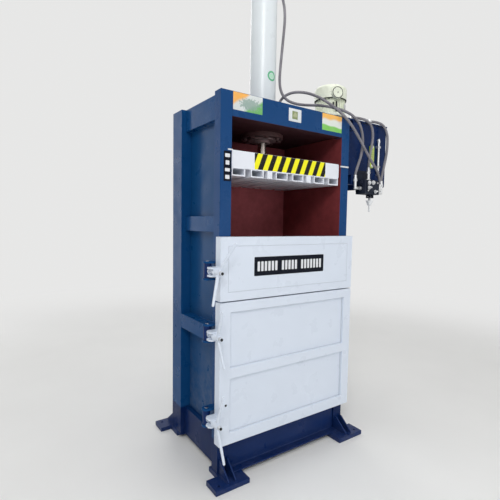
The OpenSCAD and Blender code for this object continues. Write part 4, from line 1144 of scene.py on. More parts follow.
@dataclass
class PlatenTrim(SubAssembly):
    """Warning band, beads and the coupling's weld of the platen."""

    body: str = "ram"
    band_x: Pair = (-0.295, 0.330)
    band_z: Pair = (1.952, 2.0540)
    channel_x: tuple[float, ...] = (-0.4145, -0.2715, -0.0715, 0.0715, 0.2715, 0.4145)
    half_end: float = 0.047
    half_channel: float = 0.05
    edge_r: float = 0.0022
    coupling_r: float = 0.096

    def build(self) -> None:
        """Builds the band and the beads."""
        low, high = box_of("platen_box")
        band = Shell("platen_warning_band").label(self.band_x, self.band_z, low[1], 0.002, 0.0006, 0.0002)
        band.build(self.body, FINISH.stripes)
        beads = Shell("platen_weld_beads")
        under = low[2] - 0.0006
        for x in self.channel_x:
            left, right = ([x + s * self.half_end, low[1] + 0.001, low[2]] for s in ENDS)
            beads.bead(left, right, PLATE_BEAD)
            for side in (x - self.half_channel, x + self.half_channel):
                beads.bead([side, low[1] + 0.012, under], [side, high[1] - 0.012, under], PLATE_BEAD)
        for x in (-high[0], high[0]):
            beads.bead([x, low[1], low[2] + 0.01], [x, low[1], high[2] - 0.004], self.edge_r)
        beads.round_bead([0, 0, high[2] + 0.001], Z, self.coupling_r, 0.004, 180)
        beads.build(self.body, FINISH.ram_white)


@dataclass
class DoorTrim(SubAssembly):
    """What both doors have: the beads where their fork plates meet their edge."""

    fork: str = ""
    screws: tuple[float, ...] = ()
    fork_faces: tuple[float, ...] = (-0.018, -0.028, 0.018, 0.028)

    def fork_beads(self) -> None:
        """Builds the beads of the forks, at the heights of their screws."""
        edge = box_of("upper_door_skin")[0][0] - 0.0008
        low, high = box_of(self.fork)
        shell = Shell(f"{self.body}_fork_beads")
        for z in self.screws:
            for face in self.fork_faces:
                shell.bead([edge, low[1] + 0.003, z + face], [edge, high[1] - 0.003, z + face], PLATE_BEAD)
        shell.build(self.body, FINISH.white)


@dataclass
class UpperDoorTrim(DoorTrim):
    """Sign, pressed border line drawn as a grey rod of painted shade, and fork beads of the upper door."""

    body: str = "upper_door"
    fork: str = "upper_door_fork"
    screws: tuple[float, ...] = (1.318,)
    sign_x: Pair = (-0.337, 0.261)
    sign_z: Pair = (1.278, 1.398)
    margin: float = 0.020
    places: int = 20
    empty: tuple[int, ...] = (6, 12)
    bar_h: float = 0.062
    border: float = 0.055
    border_r: float = 0.0018

    def build(self) -> None:
        """Builds the sign plate, its row of plain upright bars, the border's line of painted shade and the
        beads.
        """
        low, high = box_of("upper_door_skin")
        y = low[1]
        plate = Shell("door_sign_plate").label(self.sign_x, self.sign_z, y, 0.006, 0.0012, 0.0004)
        plate.build(self.body, FINISH.sign_black)
        bars = Shell("door_sign_bars")
        start = self.sign_x[0] + self.margin
        pitch = (self.sign_x[1] - self.margin - start) / self.places
        outline = rounded_rect(pitch * 0.66, self.bar_h, pitch * 0.66 * 0.2)
        for i in range(self.places):
            if i not in self.empty:
                at = [start + (i + 0.5) * pitch, y - 0.0010, sum(self.sign_z) / 2]
                bars.slab(outline, at, 0.0005, 0.0002)
        bars.build(self.body, FINISH.sign_white)
        line = Shell("door_border_shade_line")
        xs, zs = ((low[k] + self.border, high[k] - self.border) for k in (0, 2))
        spots = [[x, y, z] for x, z in corners(xs, zs)]
        for a, b in zip(spots, spots[1:] + spots[:1]):
            line.rod(np.linspace(a, b, 24), self.border_r)
        line.build(self.body, FINISH.groove)
        self.fork_beads()


@dataclass
class LowerDoorTrim(DoorTrim):
    """Window beads in a darker grey that paints the shade along the recessed panels' edges, dark plug and
    fork beads of the lower door.
    """

    body: str = "lower_door"
    fork: str = "lower_door_forks"
    screws: tuple[float, ...] = (0.935, 0.405)
    windows: tuple[Pair, ...] = ((0.313, 0.655), (0.720, 1.0670))
    window_r: float = 0.0052
    plug_at: Pair = (-0.533, 0.494)
    plug: tuple[Pair, ...] = ((0, 0), (0.0075, 0), (0.0075, 0.001), (0.006, 0.0022), (0, 0.0026))

    def build(self) -> None:
        """Builds the darker grey beads round the recessed panels, which paint the shade along their edges,
        and a dark plug on the left stile.
        """
        low, high = box_of("lower_door_panels")
        xs, y = (low[0] + 0.005, high[0] - 0.005), low[1] - 0.0005
        shell = Shell("lower_door_panel_shade_beads")
        for zs in self.windows:
            shell.bead_loop([[x, y, z] for x, z in corners(xs, zs)], self.window_r)
        shell.build(self.body, FINISH.groove)
        face = box_of("lower_door_frame")[0][1]
        plug = Shell("lower_door_plug").turned(self.plug, [self.plug_at[0], face, self.plug_at[1]], -Y)
        plug.build(self.body, FINISH.dark)
        self.fork_beads()


@dataclass
class Clamp(SubAssembly):
    """Thread, hub bolt and arm beads of one clamp screw."""

    height: float = 1.318
    turn_deg: float = 23.0
    x: float = -0.612
    hub_y: float = -0.4413
    nose_y: float = -0.4873
    collar_y: float = -0.4185
    sweep_deg: float = 21.0
    pitch: float = 0.005
    root_r: float = 0.0119
    depth: float = 0.0011

    def build(self) -> None:
        """Builds the thread, the bolt and the beads."""
        thread = Shell(f"{self.body}_thread")
        for y0, y1 in ((-0.3440, -0.3050), (self.nose_y + 0.0015, -0.4650)):
            thread.grid(self.thread(y0, y1))
        thread.build(self.body, FINISH.steel, 60)
        bolt = Shell(f"{self.body}_hub_bolt")
        bolt.hex_bolt([self.x, self.nose_y, self.height], -Y, 0.013, 0.0055, 0.0015)
        bolt.build(self.body, FINISH.dark)
        beads = Shell(f"{self.body}_arm_beads")
        t, s = math.radians(self.turn_deg), math.radians(self.sweep_deg)
        hub = np.array([self.x, self.hub_y, self.height])
        for end in ENDS:
            way = np.array([end * math.cos(s) * math.sin(t), -math.sin(s), end * math.cos(s) * math.cos(t)])
            beads.round_bead(hub + way * 0.0202, way, 0.0106, 0.0032, 64)
        beads.round_bead([self.x, self.collar_y, self.height], Y, 0.0202, 0.0026, 96)
        beads.build(self.body, FINISH.white)

    def thread(self, y0: float, y1: float, n: int = 40) -> Array:
        """Threaded length of the screw, fading at both ends.

        Its radius is r + h (0.5 + 0.5 cos(a - 2 pi y / pitch)).

        Args:
            y0: front end.
            y1: rear end.
            n: points round the screw.

        Returns:
            Points shaped (stations, n, 3).
        """
        y = np.linspace(y0, y1, max(12, int(abs(y1 - y0) / self.pitch * 14)))[:, None]
        a = np.linspace(0, 2 * np.pi, n, endpoint=False)
        fade = np.clip(np.minimum(y - y0, y1 - y) / 0.003, 0, 1)
        radius = self.root_r + self.depth * (0.5 + 0.5 * np.cos(a - 2 * np.pi * y / self.pitch)) * fade
        y = np.broadcast_to(y, radius.shape)
        return np.stack([self.x + radius * np.cos(a), y, self.height + radius * np.sin(a)], -1)


@dataclass
class Nuts(SubAssembly):
    """Rings on the trunnions of the clamp nuts, and the beads of their brackets."""

    heights: tuple[float, ...] = (1.318, 0.935, 0.405)
    x: float = -0.612
    trunnion: float = 0.0585
    bracket_x: float = -0.5558
    bracket_y: Pair = (-0.337, -0.283)
    faces: Pair = (0.045, 0.057)

    def build(self) -> None:
        """Builds the rings and the beads."""
        low, high = box_of("clamp_nuts")
        y = (low[1] + high[1]) / 2
        rings = Shell("trunnion_rings")
        beads = Shell("clamp_bracket_beads")
        for z in self.heights:
            for s in ENDS:
                rings.round_bead([self.x, y, z + s * self.trunnion], Z, 0.0104, 0.0014, 48)
                for face in self.faces:
                    front, rear = ([self.bracket_x, end, z + s * face] for end in self.bracket_y)
                    beads.bead(front, rear, PLATE_BEAD)
        rings.build(self.body, FINISH.steel)
        beads.build(self.body, FINISH.blue)


@dataclass(frozen=True)
class Sticker:
    """One plain sticker: its name, edges, printed fields, and how far it stands out from the crown."""

    name: str
    xs: Pair
    zs: Pair
    finish: Bands
    lift: float = 0.0


STICKERS = (
    Sticker("crown_sticker_left", (-0.470, -0.252), (2.292, 2.398), Bands(
        "sticker_left", "white_paint", (0.15, 0.45, 0.13), 0.35, middle=-0.361,
        blot=(-0.348, 2.338, 0.085, 0.038), blot_tone=(0.24, 0.35, 0.31), fields=(
            Field(2.308, 0.58, (0.66, 0.70, 0.70), 0.003, 0.009),
            Field(2.390, 0.61, (0.86, 0.42, 0.09), 0.004, 0.010)))),
    Sticker("crown_sticker_middle", (-0.036, 0.074), (2.293, 2.378), Bands(
        "sticker_middle", "white_paint", (0.66, 0.70, 0.70), 0.35, fields=(
            Field(2.301, 0.0, (0.70, 0.73, 0.76)),))),
    Sticker("crown_sticker_square", (-0.006, 0.042), (2.310, 2.362), Bands(
        "sticker_square", "white_paint", (0.22, 0.27, 0.12), blot=(0.018, 2.336, 0.016, 0.018),
        blot_tone=(0.42, 0.44, 0.28)), 0.0004),
    Sticker("crown_sticker_right", (0.272, 0.470), (2.280, 2.397), Bands(
        "sticker_right", "white_paint", (0.20, 0.56, 0.10), 0.35, middle=0.371, fields=(
            Field(2.316, -0.05, (0.72, 0.76, 0.72), 0.002, 0.005),
            Field(2.362, 0.03, (0.86, 0.46, 0.10), 0.004, 0.008)))),
)


@dataclass
class CrownMarks(SubAssembly):
    """Plain stickers on the crown and the strip of plain bars on the left post."""

    strip_x: Pair = (-0.531, -0.479)
    strip_z: Pair = (1.860, 2.040)
    bars: tuple[Pair, ...] = ((0.030, 0.024), (0.034, 0.020), (0.026, 0.026), (0.034, 0.022))
    first_z: float = 1.885
    pitch: float = 0.043

    def build(self) -> None:
        """Builds the four stickers, the strip and its bars."""
        y = box_of("crown_front_beam")[0][1]
        for s in STICKERS:
            Shell(s.name).label(s.xs, s.zs, y - s.lift, 0.003, 0.0005, 0.0002).build(self.body, s.finish)
        strip = Shell("post_mark_strip").label(self.strip_x, self.strip_z, y, 0.003, 0.0005, 0.0002)
        strip.build(self.body, FINISH.sign_black)
        marks = Shell("post_marks")
        for i, (w, h) in enumerate(self.bars):
            at = [sum(self.strip_x) / 2, y - 0.0004, self.first_z + i * self.pitch]
            marks.slab(rounded_rect(w, h, 0.004), at, 0.0004, 0.0001)
        marks.build(self.body, FINISH.sign_white)


@dataclass
class TankTrim(SubAssembly):
    """Gasket, lid bolts, beads, drain plug, gauge, pipe unions and breather grip of the oil tank."""

    bolt_across: float = 0.013
    bolt_inset: float = 0.012
    bead_r: float = 0.0026
    pipe_y: float = -0.296
    breather_r: float = 0.0381

    def build(self) -> None:
        """Builds the tank's small pieces."""
        low, high = box_of("oil_tank")
        mid = (low + high) / 2
        size = high - low + 0.004
        gasket = Shell("tank_gasket").slab(
            rounded_rect(size[0], size[1], 0.004), [mid[0], mid[1], high[2] - 0.0025], 0.003, 0.0005, X, Y)
        gasket.build(self.body, FINISH.rubber)
        lid = box_of("tank_lid")[1][2]
        bolts = Shell("tank_lid_bolts")
        xs, ys = (np.linspace(low[k] + self.bolt_inset, high[k] - self.bolt_inset, 4) for k in (0, 1))
        sides = [(x, y) for x in xs for y in (ys[0], ys[-1])]
        for x, y in sides + [(x, y) for x in (xs[0], xs[-1]) for y in ys[1:-1]]:
            bolts.hex_bolt([x, y, lid], Z, self.bolt_across, 0.0053, 0.0016)
        bolts.build(self.body, FINISH.zinc)
        beads = Shell("tank_weld_beads")
        for x in (low[0], high[0]):
            for y in (low[1], high[1]):
                beads.bead([x, y, low[2] + 0.002], [x, y, high[2] - 0.004], self.bead_r)
        foot = corners((low[0], high[0]), (low[1], high[1]))
        beads.bead_loop([[x, y, low[2]] for x, y in foot], self.bead_r)
        beads.build(self.body, FINISH.tank)
        self.gauge()
        self.pipe()
        self.breather()
        drain = Shell("tank_drain_plug")
        drain.hex_bolt([high[0], low[1] + 0.07, low[2] + 0.045], X, 0.024, 0.0055, 0.0020)
        drain.build(self.body, FINISH.zinc)

    def gauge(self) -> None:
        """Builds the level gauge's oil column, scale line, lens and end screws."""
        low, high = box_of("level_gauge")
        x, front, z = (low[0] + high[0]) / 2, low[1], (low[2] + high[2]) / 2
        tall = high[2] - low[2]
        oil = Shell("gauge_oil_column")
        oil.slab(rounded_rect(0.022, tall - 0.066, 0.0109, 9), [x, front + 0.0002, z], 0.0022, 0.0008)
        oil.build(self.body, FINISH.oil)
        line = Shell("gauge_red_line")
        line.slab(rounded_rect(0.0018, tall - 0.090, 0.0008), [x, front - 0.0019, z], 0.0004, 0.0001)
        line.build(self.body, FINISH.red)
        lens = Shell("gauge_lens").grid(self.lens(x, front, z, (tall - 0.060) / 2))
        lens.build(self.body, FINISH.clear, 60)
        screws = Shell("gauge_screws")
        cup = closed((0.0118, 0), (0.0118, 0.004), (0.0100, 0.0056))
        for end in ENDS:
            at = np.array([x, front, z + end * (tall / 2 - 0.0170)])
            screws.turned(cup, at, -Y).hex_bolt(at - Y * 0.0052, -Y, 0.009, 0.003)
        screws.build(self.body, FINISH.zinc)

    def lens(self, x: float, front: float, z: float, half: float) -> Array:
        """Half-round rod with round ends: width w = r sqrt(1 - q^2) where the end's circle is, else r.

        The point is (x + w sin a, front - 0.4 mm - bulge cos a w / r, z + half s).

        Args:
            x: middle of the lens.
            front: face that it is on.
            z: height of its middle.
            half: half of its length.

        Returns:
            Points shaped (40, 15, 3).
        """
        s = np.linspace(-1, 1, 40)[:, None]
        a = np.linspace(-np.pi / 2, np.pi / 2, 15)
        r, bulge = 0.0145, 0.0056
        width = r * np.sqrt(np.clip(1 - np.clip((np.abs(s) * half - half + r) / r, 0, 0.985) ** 2, 0, 1))
        height = np.broadcast_to(z + half * s, (40, 15))
        out = front - 0.0004 - bulge * np.cos(a) * (width / r)
        return np.stack([x + width * np.sin(a), out, height], -1)

    def pipe(self) -> None:
        """Builds the unions at the ends of the bright pipe."""
        low, high = box_of("return_pipe")
        x, y = (low[0] + high[0]) / 2, self.pipe_y
        nut = closed((0.0125, 0), (0.0135, 0.002), (0.0135, 0.013), (0.0115, 0.0155))
        stub = [(0, 0), (0.0085, 0), (0.0085, 0.014), (0.0065, 0.018), (0, 0.0185)]
        ends = Shell("pipe_unions")
        for z, way in ((low[2], -1), (high[2], 1)):
            ends.turned(nut, [x, y, z - way * 0.001], way * Z, 6)
            ends.turned(stub, [x, y, z + way * 0.012], way * Z)
            ends.turned(closed((0.0065, 0.0), (0.0065, 0.018)), [x, y, z + way * 0.022], Y, 24)
        ends.build(self.body, FINISH.zinc)

    def breather(self) -> None:
        """Builds the breather's gripped sleeve: radius = r + h |cos 14a|."""
        low, high = box_of("breather_cap")
        x, y = (low[0] + high[0]) / 2, (low[1] + high[1]) / 2
        a = np.linspace(0, 2 * np.pi, 336, endpoint=False)
        rise, grow = np.array([[0.0, 0.0], [0.002, 1.0], [0.030, 1.0], [0.034, 0.0]]).T[..., None]
        radius = self.breather_r + 0.0020 * grow * np.abs(np.cos(14 * a))
        height = np.broadcast_to(high[2] - 0.045 + rise, radius.shape)
        p = np.stack([x + radius * np.cos(a), y + radius * np.sin(a), height], -1)
        Shell("breather_grip").grid(p).build(self.body, FINISH.rubber, 50)


@dataclass
class MotorTrim(SubAssembly):
    """Cowl, seam, fan grille, disc, slots, plate, gland and bell bolts of the motor."""

    axis_x: float = 0.700
    boss_deg: float = -112.0
    boss_out: float = 0.1452
    boss_z: float = 2.668
    boss_r: float = 0.0490
    skirt_z: float = 2.6350
    lap_z: float = 2.6486
    side_z: float = 2.7150
    top_z: float = 2.7545
    cowl_r: float = 0.1322
    dome_r: float = 0.0760
    wall: float = 0.003
    bell_bolts: int = 6
    spokes: int = 8

    def out(self, degrees: float, r: float, z: float) -> tuple[Array, Array]:
        """Point at a bearing, radius and height round the motor's axis, and the way outwards."""
        way = np.array([math.cos(math.radians(degrees)), math.sin(math.radians(degrees)), 0.0])
        return np.array([self.axis_x, 0, z]) + way * r, way

    def build(self) -> None:
        """Builds the motor's small pieces."""
        seam = Shell("cowl_seam").turned(
            [(0.1215, 0), (0.1314, 0), (0.1314, 0.0042), (0.1215, 0.0042), (0.1215, 0)],
            [self.axis_x, 0, self.skirt_z - 0.0040], Z, 96)
        seam.build(self.body, FINISH.dark)
        self.cowl()
        self.grille()
        self.disc()
        self.plates()
        self.gland()
        bolts = Shell("bell_bolts")
        top = box_of("tank_lid")[1][2] + 0.012
        for k in range(self.bell_bolts):
            spot = self.out(30 + 360 / self.bell_bolts * k, 0.0955, top)[0]
            bolts.hex_bolt(spot, Z, 0.013, 0.0055, 0.0016)
        bolts.build(self.body, FINISH.zinc)

    def cowl(self) -> None:
        """Builds the cowl that stands for the frame's own: a skirt, a flat dome, and the boss on its front.

        The dome's edge is a quarter of an ellipse, where the radius is R - d (1 - cos t) and the height
        side + (top - side) sin t. The inside follows it a wall's thickness further in, so the shell closes
        on itself under the skirt.
        """
        t = np.linspace(0, np.pi / 2, 24)
        rise, w = self.top_z - self.side_z, self.wall
        foot, lap_r = self.skirt_z, self.cowl_r - 0.0010
        edge = self.cowl_r - self.dome_r * (1 - np.cos(t))
        outer = np.stack([edge, self.side_z + rise * np.sin(t)], -1)
        inner = np.stack([edge - w, self.side_z + (rise - w) * np.sin(t)], -1)[::-1]
        line = np.vstack([
            [(lap_r, foot), (self.cowl_r - 0.0006, foot - 0.0002), (self.cowl_r, foot + 0.0006)],
            outer, [(0, self.top_z), (0, self.top_z - w)], inner,
            [(self.cowl_r - w, self.lap_z), (lap_r, self.lap_z), (lap_r, foot)],
        ])
        b = self.boss_r
        lip = [(0, -0.040), (b + 0.001, -0.040), (b, -0.002), (b - 0.0015, 0.0012), (b - 0.0030, 0.0012)]
        lip += [(b - 0.0036, -0.0018), (0, -0.0018)]
        at, way = self.out(self.boss_deg, self.boss_out, self.boss_z)
        shell = Shell("cowl_with_boss").turned(line, [self.axis_x, 0, 0], Z, 120)
        shell.turned(lip, at, way, 96).build(self.body, FINISH.cream, 35, ("motor_cowl",))

    def grille(self) -> None:
        """Builds the fan's grille on the cowl's top: a dark disc under rings and spokes."""
        well = Shell("fan_well")
        well.turned(closed((0.064, 0), (0.064, 0.0006)), [self.axis_x, 0, self.top_z - SUNK], Z, 72)
        well.build(self.body, FINISH.dark)
        wires = Shell("fan_grille")
        for r in (0.014, 0.026, 0.038, 0.050, 0.062):
            wires.round_bead([self.axis_x, 0, self.top_z + 0.0022], Z, r, 0.0013, 96)
        for k in range(self.spokes):
            turn = 360 / self.spokes * k
            near, far = (self.out(turn, r, self.top_z + 0.0030)[0] for r in (0.012, 0.063))
            wires.rod(np.linspace(near, far, 6), 0.0014)
        wires.build(self.body, FINISH.cream)

    def disc(self) -> None:
        """Builds the disc on the boss: the dark groove round it, its cover and four screws."""
        at, way = self.out(self.boss_deg, self.boss_out, self.boss_z)
        r = self.boss_r - 0.0035
        groove = Shell("disc_groove").turned(closed((r, -0.002), (r, 0.0005)), at, way, 72)
        groove.turned(closed((0.0042, 0), (0.0042, 0.0046)), at, way).build(self.body, FINISH.dark)
        plate = closed((0.0395, 0), (0.0400, 0.0012), (0.0385, 0.0030), (0.021, 0.0040), (0.0195, 0.0032))
        Shell("disc_cover").turned(plate, at - way * 0.0004, way, 72).build(self.body, FINISH.cream)
        screws = Shell("disc_cover_screws")
        u, v, _ = basis(way)
        for a in math.pi / 4 + np.arange(4) * math.pi / 2:
            spot = at + way * 0.0022 + 0.0320 * (math.cos(a) * u + math.sin(a) * v)
            screws.hex_bolt(spot, way, 0.0055, 0.0026, 0.0007)
        screws.build(self.body, FINISH.zinc)

    def plates(self) -> None:
        """Builds the dark slots of the terminal box, a dark patch on the cowl that paints the shadow where
        the terminal box meets it, and the motor's bare plate.
        """
        slots = Shell("terminal_slots_and_painted_shadow")
        # The last spot is not a slot: it is a painted shadow on the cowl beside the terminal box.
        spots = ((-124, 0.1230, 2.572, 0.014, 0.050), (-111.5, 0.1230, 2.564, 0.014, 0.082),
                 (-127, self.cowl_r - 0.0010, 2.6530, 0.018, 0.024))
        for degrees, r, z, w, h in spots:
            spot, way = self.out(degrees, r, z)
            slots.slab(rounded_rect(w, h, w * 0.3), spot, 0.0025, 0.0006, np.cross(Z, way), Z)
        slots.build(self.body, FINISH.dark)
        spot, way = self.out(-60, 0.1215, 2.580)
        plate = Shell("motor_plate")
        plate.slab(rounded_rect(0.055, 0.036, 0.003), spot, 0.0022, 0.0005, np.cross(Z, way), Z)
        plate.build(self.body, FINISH.steel)

    def gland(self) -> None:
        """Builds the supply lead's gland at the motor's rear: pad, hexagon and dome with a dark throat."""
        at, way = self.out(62, 0.118, 2.605)
        pad = Shell("gland_pad")
        pad.slab(rounded_rect(0.044, 0.044, 0.004), at, 0.010, 0.0015, np.cross(Z, way), Z)
        pad.build(self.body, FINISH.cream)
        nut = closed((0.015, 0), (0.016, 0.0012), (0.016, 0.0075), (0.0148, 0.009))
        throat = ((0.0062, 0.0155), (0.0060, 0.010))
        dome = closed((0.0135, 0.0), (0.0137, 0.007), (0.0115, 0.013), (0.0078, 0.0155), *throat)
        gland = Shell("cable_gland").turned(nut, at + way * 0.0098, way, 6)
        gland.turned(dome, at + way * 0.0186, way, 48).build(self.body, FINISH.rubber)


@dataclass
class ValveTrim(SubAssembly):
    """Cover, screws, end caps, plugs and relief screw of the valve."""

    xs: Pair = (0.710, 0.880)
    zs: Pair = (1.850, 1.960)
    face: float = -0.385
    spool_y: float = -0.350
    plugs: tuple[Triple, ...] = ((0.752, 1.938, 0.024), (0.800, 1.941, 0.024), (0.826, 1.872, 0.020))

    def build(self) -> None:
        """Builds the valve's small pieces."""
        (x0, x1), (z0, z1) = self.xs, self.zs
        mid, back = (x0 + x1) / 2, self.face + 0.0002
        cover = Shell("valve_cover")
        cover.slab(rounded_rect(0.128, 0.078, 0.006), [mid, back, (z0 + z1) / 2 + 0.004], 0.006, 0.0012)
        cover.slab(rounded_rect(0.152, 0.010, 0.003), [mid, back, z1 - 0.008], 0.003, 0.0008)
        cover.build(self.body, FINISH.casting)
        out = self.face - 0.0058
        screws = Shell("valve_screws")
        socket = ((0.0032, 0.0058), (0.0032, 0.003))
        cap = closed((0.0058, 0), (0.0060, 0.0004), (0.0060, 0.0052), (0.0055, 0.0058), *socket)
        for x in (x0 + 0.030, x1 - 0.030):
            for z in (z0 + 0.026, z1 - 0.020):
                screws.turned(cap, [x, out, z], -Y)
        screws.build(self.body, FINISH.zinc)
        caps = Shell("valve_end_caps")
        for x, way, z in ((x0, -X, z1 - 0.022), (x1, X, z1 - 0.030)):
            at = np.array([x, self.spool_y, z])
            caps.turned(closed((0.017, 0), (0.017, 0.010), (0.0155, 0.012)), at, way, 40)
            caps.hex_bolt(at + way * 0.012, way, 0.019, 0.008)
        caps.build(self.body, FINISH.casting)
        plugs = Shell("valve_plugs")
        for x, z, across in self.plugs:
            plugs.hex_bolt([x, out, z], -Y, across, 0.010, 0.002)
        plugs.build(self.body, FINISH.zinc)
        at = np.array([x0 + 0.042, self.face - 0.006, z0 + 0.050])
        stem = closed((0.0062, 0), (0.0062, 0.014), (0.005, 0.0155))
        relief = Shell("relief_screw").hex_bolt(at, -Y, 0.022, 0.010, 0.002)
        relief.turned(stem, at - Y * 0.0115, -Y).build(self.body, FINISH.zinc)


@dataclass
class Hose(SubAssembly):
    """A braided hose along its route, given in millimetres, with a crimped sleeve at each end."""

    name: str = ""
    node: str = ""
    route: tuple[Triple, ...] = ()
    diameter: float = 0.020
    around: int = 28

    def build(self) -> None:
        path = smooth_path(np.array(self.route) / 1000.0, 4)
        steps = np.linalg.norm(np.diff(path, axis=0), axis=1)
        along = np.concatenate([[0], np.cumsum(steps)])
        u, v = np.meshgrid(along, np.arange(self.around + 1) / self.around, indexing="ij")
        section = ring(self.around) * (self.diameter / 2)
        tube = Shell(self.name).grid(sweep(path, section), uv=np.stack([v, u], -1))
        piece = tube.build(self.body, FINISH.hose, 80, (self.node,))
        sleeve = Shell(f"{self.name}_crimps")
        for end, toward in ((path[0], path[1] - path[0]), (path[-1], path[-2] - path[-1])):
            sleeve.turned(self.crimp(), end, toward, 40)
        crimps = sleeve.build(self.body, FINISH.zinc, 50)

    def crimp(self) -> list[Pair]:
        """Profile of a sleeve: a wide collar and a narrower crimp, radius = R + 0.7 mm cos(2 pi h / 5.6 mm).

        Returns:
            The profile's radii and heights.
        """
        h = np.linspace(-0.0112, 0.0225, 60)
        wide = np.where(h < 0, 0.0146, 0.0124) + 0.0007 * np.cos(2 * np.pi * h / 0.0056)
        wide = np.where((h < -0.0106) | (h > 0.0218), wide - 0.0012, wide)
        return closed(*zip(wide, h))


CAP_ROUTE = (
    (150, 0, 3430), (150, 0, 3390), (152, -8, 3330), (156, -22, 3270), (159, -36, 3210),
    (157, -46, 3150), (153, -50, 3090), (148, -50, 3030), (142, -50, 2970), (136, -50, 2910),
    (130, -50, 2850), (124, -50, 2790), (119, -50, 2730), (116, -52, 2670), (119, -58, 2612),
    (136, -70, 2560), (170, -90, 2524), (218, -115, 2506), (272, -142, 2500), (326, -172, 2500),
    (378, -204, 2500), (430, -238, 2494), (480, -274, 2482),
    (530, -308, 2464), (578, -336, 2440), (621, -354, 2406), (656, -364, 2360), (679, -366, 2306),
    (689, -366, 2248), (688, -364, 2188), (680, -358, 2130), (667, -349, 2076), (654, -342, 2028),
    (648, -340, 1995), (648, -340, 1970),
)
ROD_ROUTE = (
    (140, 0, 2442), (140, 0, 2476), (148, -14, 2526), (172, -44, 2568), (206, -92, 2588), (244, -144, 2586),
    (282, -196, 2570), (322, -246, 2542), (364, -290, 2506), (410, -328, 2464), (456, -362, 2418),
    (500, -384, 2370), (543, -396, 2322), (588, -400, 2274), (633, -402, 2226), (679, -402, 2176),
    (726, -402, 2128), (773, -400, 2086), (820, -392, 2052), (864, -380, 2020), (899, -367, 1985),
    (915, -362, 1945), (915, -362, 1915),
)
PUMP_ROUTE = (
    (685, -262, 2452), (715, -262, 2452), (763, -276, 2450), (802, -301, 2436), (828, -323, 2400),
    (838, -335, 2350), (835, -341, 2296), (824, -344, 2242), (812, -344, 2188), (803, -343, 2132),
    (800, -340, 2075), (800, -340, 2040),
)
RETURN_ROUTE = (
    (875, -262, 2452), (905, -262, 2452), (952, -278, 2450), (992, -302, 2434), (1018, -320, 2396),
    (1031, -330, 2344), (1034, -332, 2288), (1032, -332, 2232), (1024, -331, 2174), (1012, -329, 2116),
    (1000, -326, 2060), (990, -323, 2010), (985, -322, 1975), (985, -322, 1950),
)


# Frame nodes


@dataclass(frozen=True)
class Edge:
    """How a group of frame nodes is finished: its finish, and the width and steps of its eased edges."""

    finish: Finish
    width: float
    nodes: tuple[str, ...]
    segments: int = 2
    angle: float = 35.0


@dataclass
class FrameNodes:
    """Gives every carried-over node its finish and eased edges; hoses are replaced by their own tubes."""

    groups: tuple[Edge, ...] = (
        Edge(FINISH.post, 0.004, ("front_post_left", "front_post_right"), 3),
        Edge(FINISH.blue, 0.0016, (
            "rear_post_left", "rear_post_right", "side_channels_left", "side_channels_right",
            "rear_channels")),
        Edge(FINISH.crown, 0.0016, ("crown_front_beam",)),
        Edge(FINISH.blue, 0.0015, ("hinge_brackets", "clamp_brackets")),
        Edge(FINISH.tank, 0.0015, ("oil_tank", "tank_lid", "tank_rails")),
        Edge(FINISH.navy, 0.0016, ("feet", "base_front_channel", "clamp_nuts")),
        Edge(FINISH.sheet_side, 0.0004, ("side_sheet_left", "side_sheet_right"), 1),
        Edge(FINISH.sheet_back, 0.0004, ("back_sheet",), 1),
        Edge(FINISH.oxide, 0.0010, ("bed_channels", "bed_bearers")),
        Edge(FINISH.ceiling, 0.0010, ("head_plate",)),
        Edge(FINISH.flange, 0.0010, ("rod_coupling", "cylinder_flange", "flange_bolts")),
        Edge(FINISH.gland, 0.0010, ("cylinder_gland",)),
        Edge(FINISH.ram_white, 0.0014, ("platen_box", "platen_channels")),
        Edge(FINISH.tube_white, 0.0012, ("cylinder_tube", "cylinder_cap")),
        Edge(FINISH.white, 0.0022, ("upper_door_skin", "lower_door_frame"), 3),
        Edge(FINISH.white, 0.0010, (
            "upper_door_back", "lower_door_panels", "lower_door_back", "upper_door_knuckles",
            "lower_door_knuckles", "upper_door_fork", "lower_door_forks", "clamp_screw_top",
            "clamp_screw_middle", "clamp_screw_bottom")),
        Edge(FINISH.steel, 0.0006, ("coupling_bolts", "piston", "hinge_pins")),
        Edge(FINISH.zinc, 0.0005, ("hose_fittings", "return_pipe")),
        Edge(FINISH.chrome, 0.0005, ("piston_rod",)),
        Edge(FINISH.cream, 0.0010, ("bell_housing", "motor_frame")),
        Edge(FINISH.casting, 0.0012, ("valve_block", "breather_cap")),
        Edge(FINISH.grip, 0.0008, ("valve_lever",)),
        Edge(FINISH.oil, 0.0010, ("level_gauge",)),
    )

    def dress(self) -> None:
        """Puts the material and the modifiers on each node."""
        for edge in self.groups:
            for name in edge.nodes:
                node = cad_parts[name]
                node.data.materials.clear()
                node.data.materials.append(edge.finish.material())
                self.ease(node, edge)
                log.info("%s: %s", name, edge.finish.name)

    def ease(self, node: bpy.types.Object, edge: Edge) -> None:
        """Adds the modifiers that merge, bevel and shade a node.

        Args:
            node: frame node.
            edge: sizes of the easing.
        """
        weld = node.modifiers.new("Merge", "WELD")
        weld.merge_threshold = 0.00001
        bevel = node.modifiers.new("Ease", "BEVEL")
        bevel.width = edge.width
        bevel.segments = edge.segments
        bevel.limit_method = "ANGLE"
        bevel.angle_limit = math.radians(edge.angle)
        bevel.miter_outer = "MITER_ARC"
        bevel.use_clamp_overlap = True
        normal = node.modifiers.new("Shade", "WEIGHTED_NORMAL")
        normal.keep_sharp = False
        normal.weight = 60


# Studio


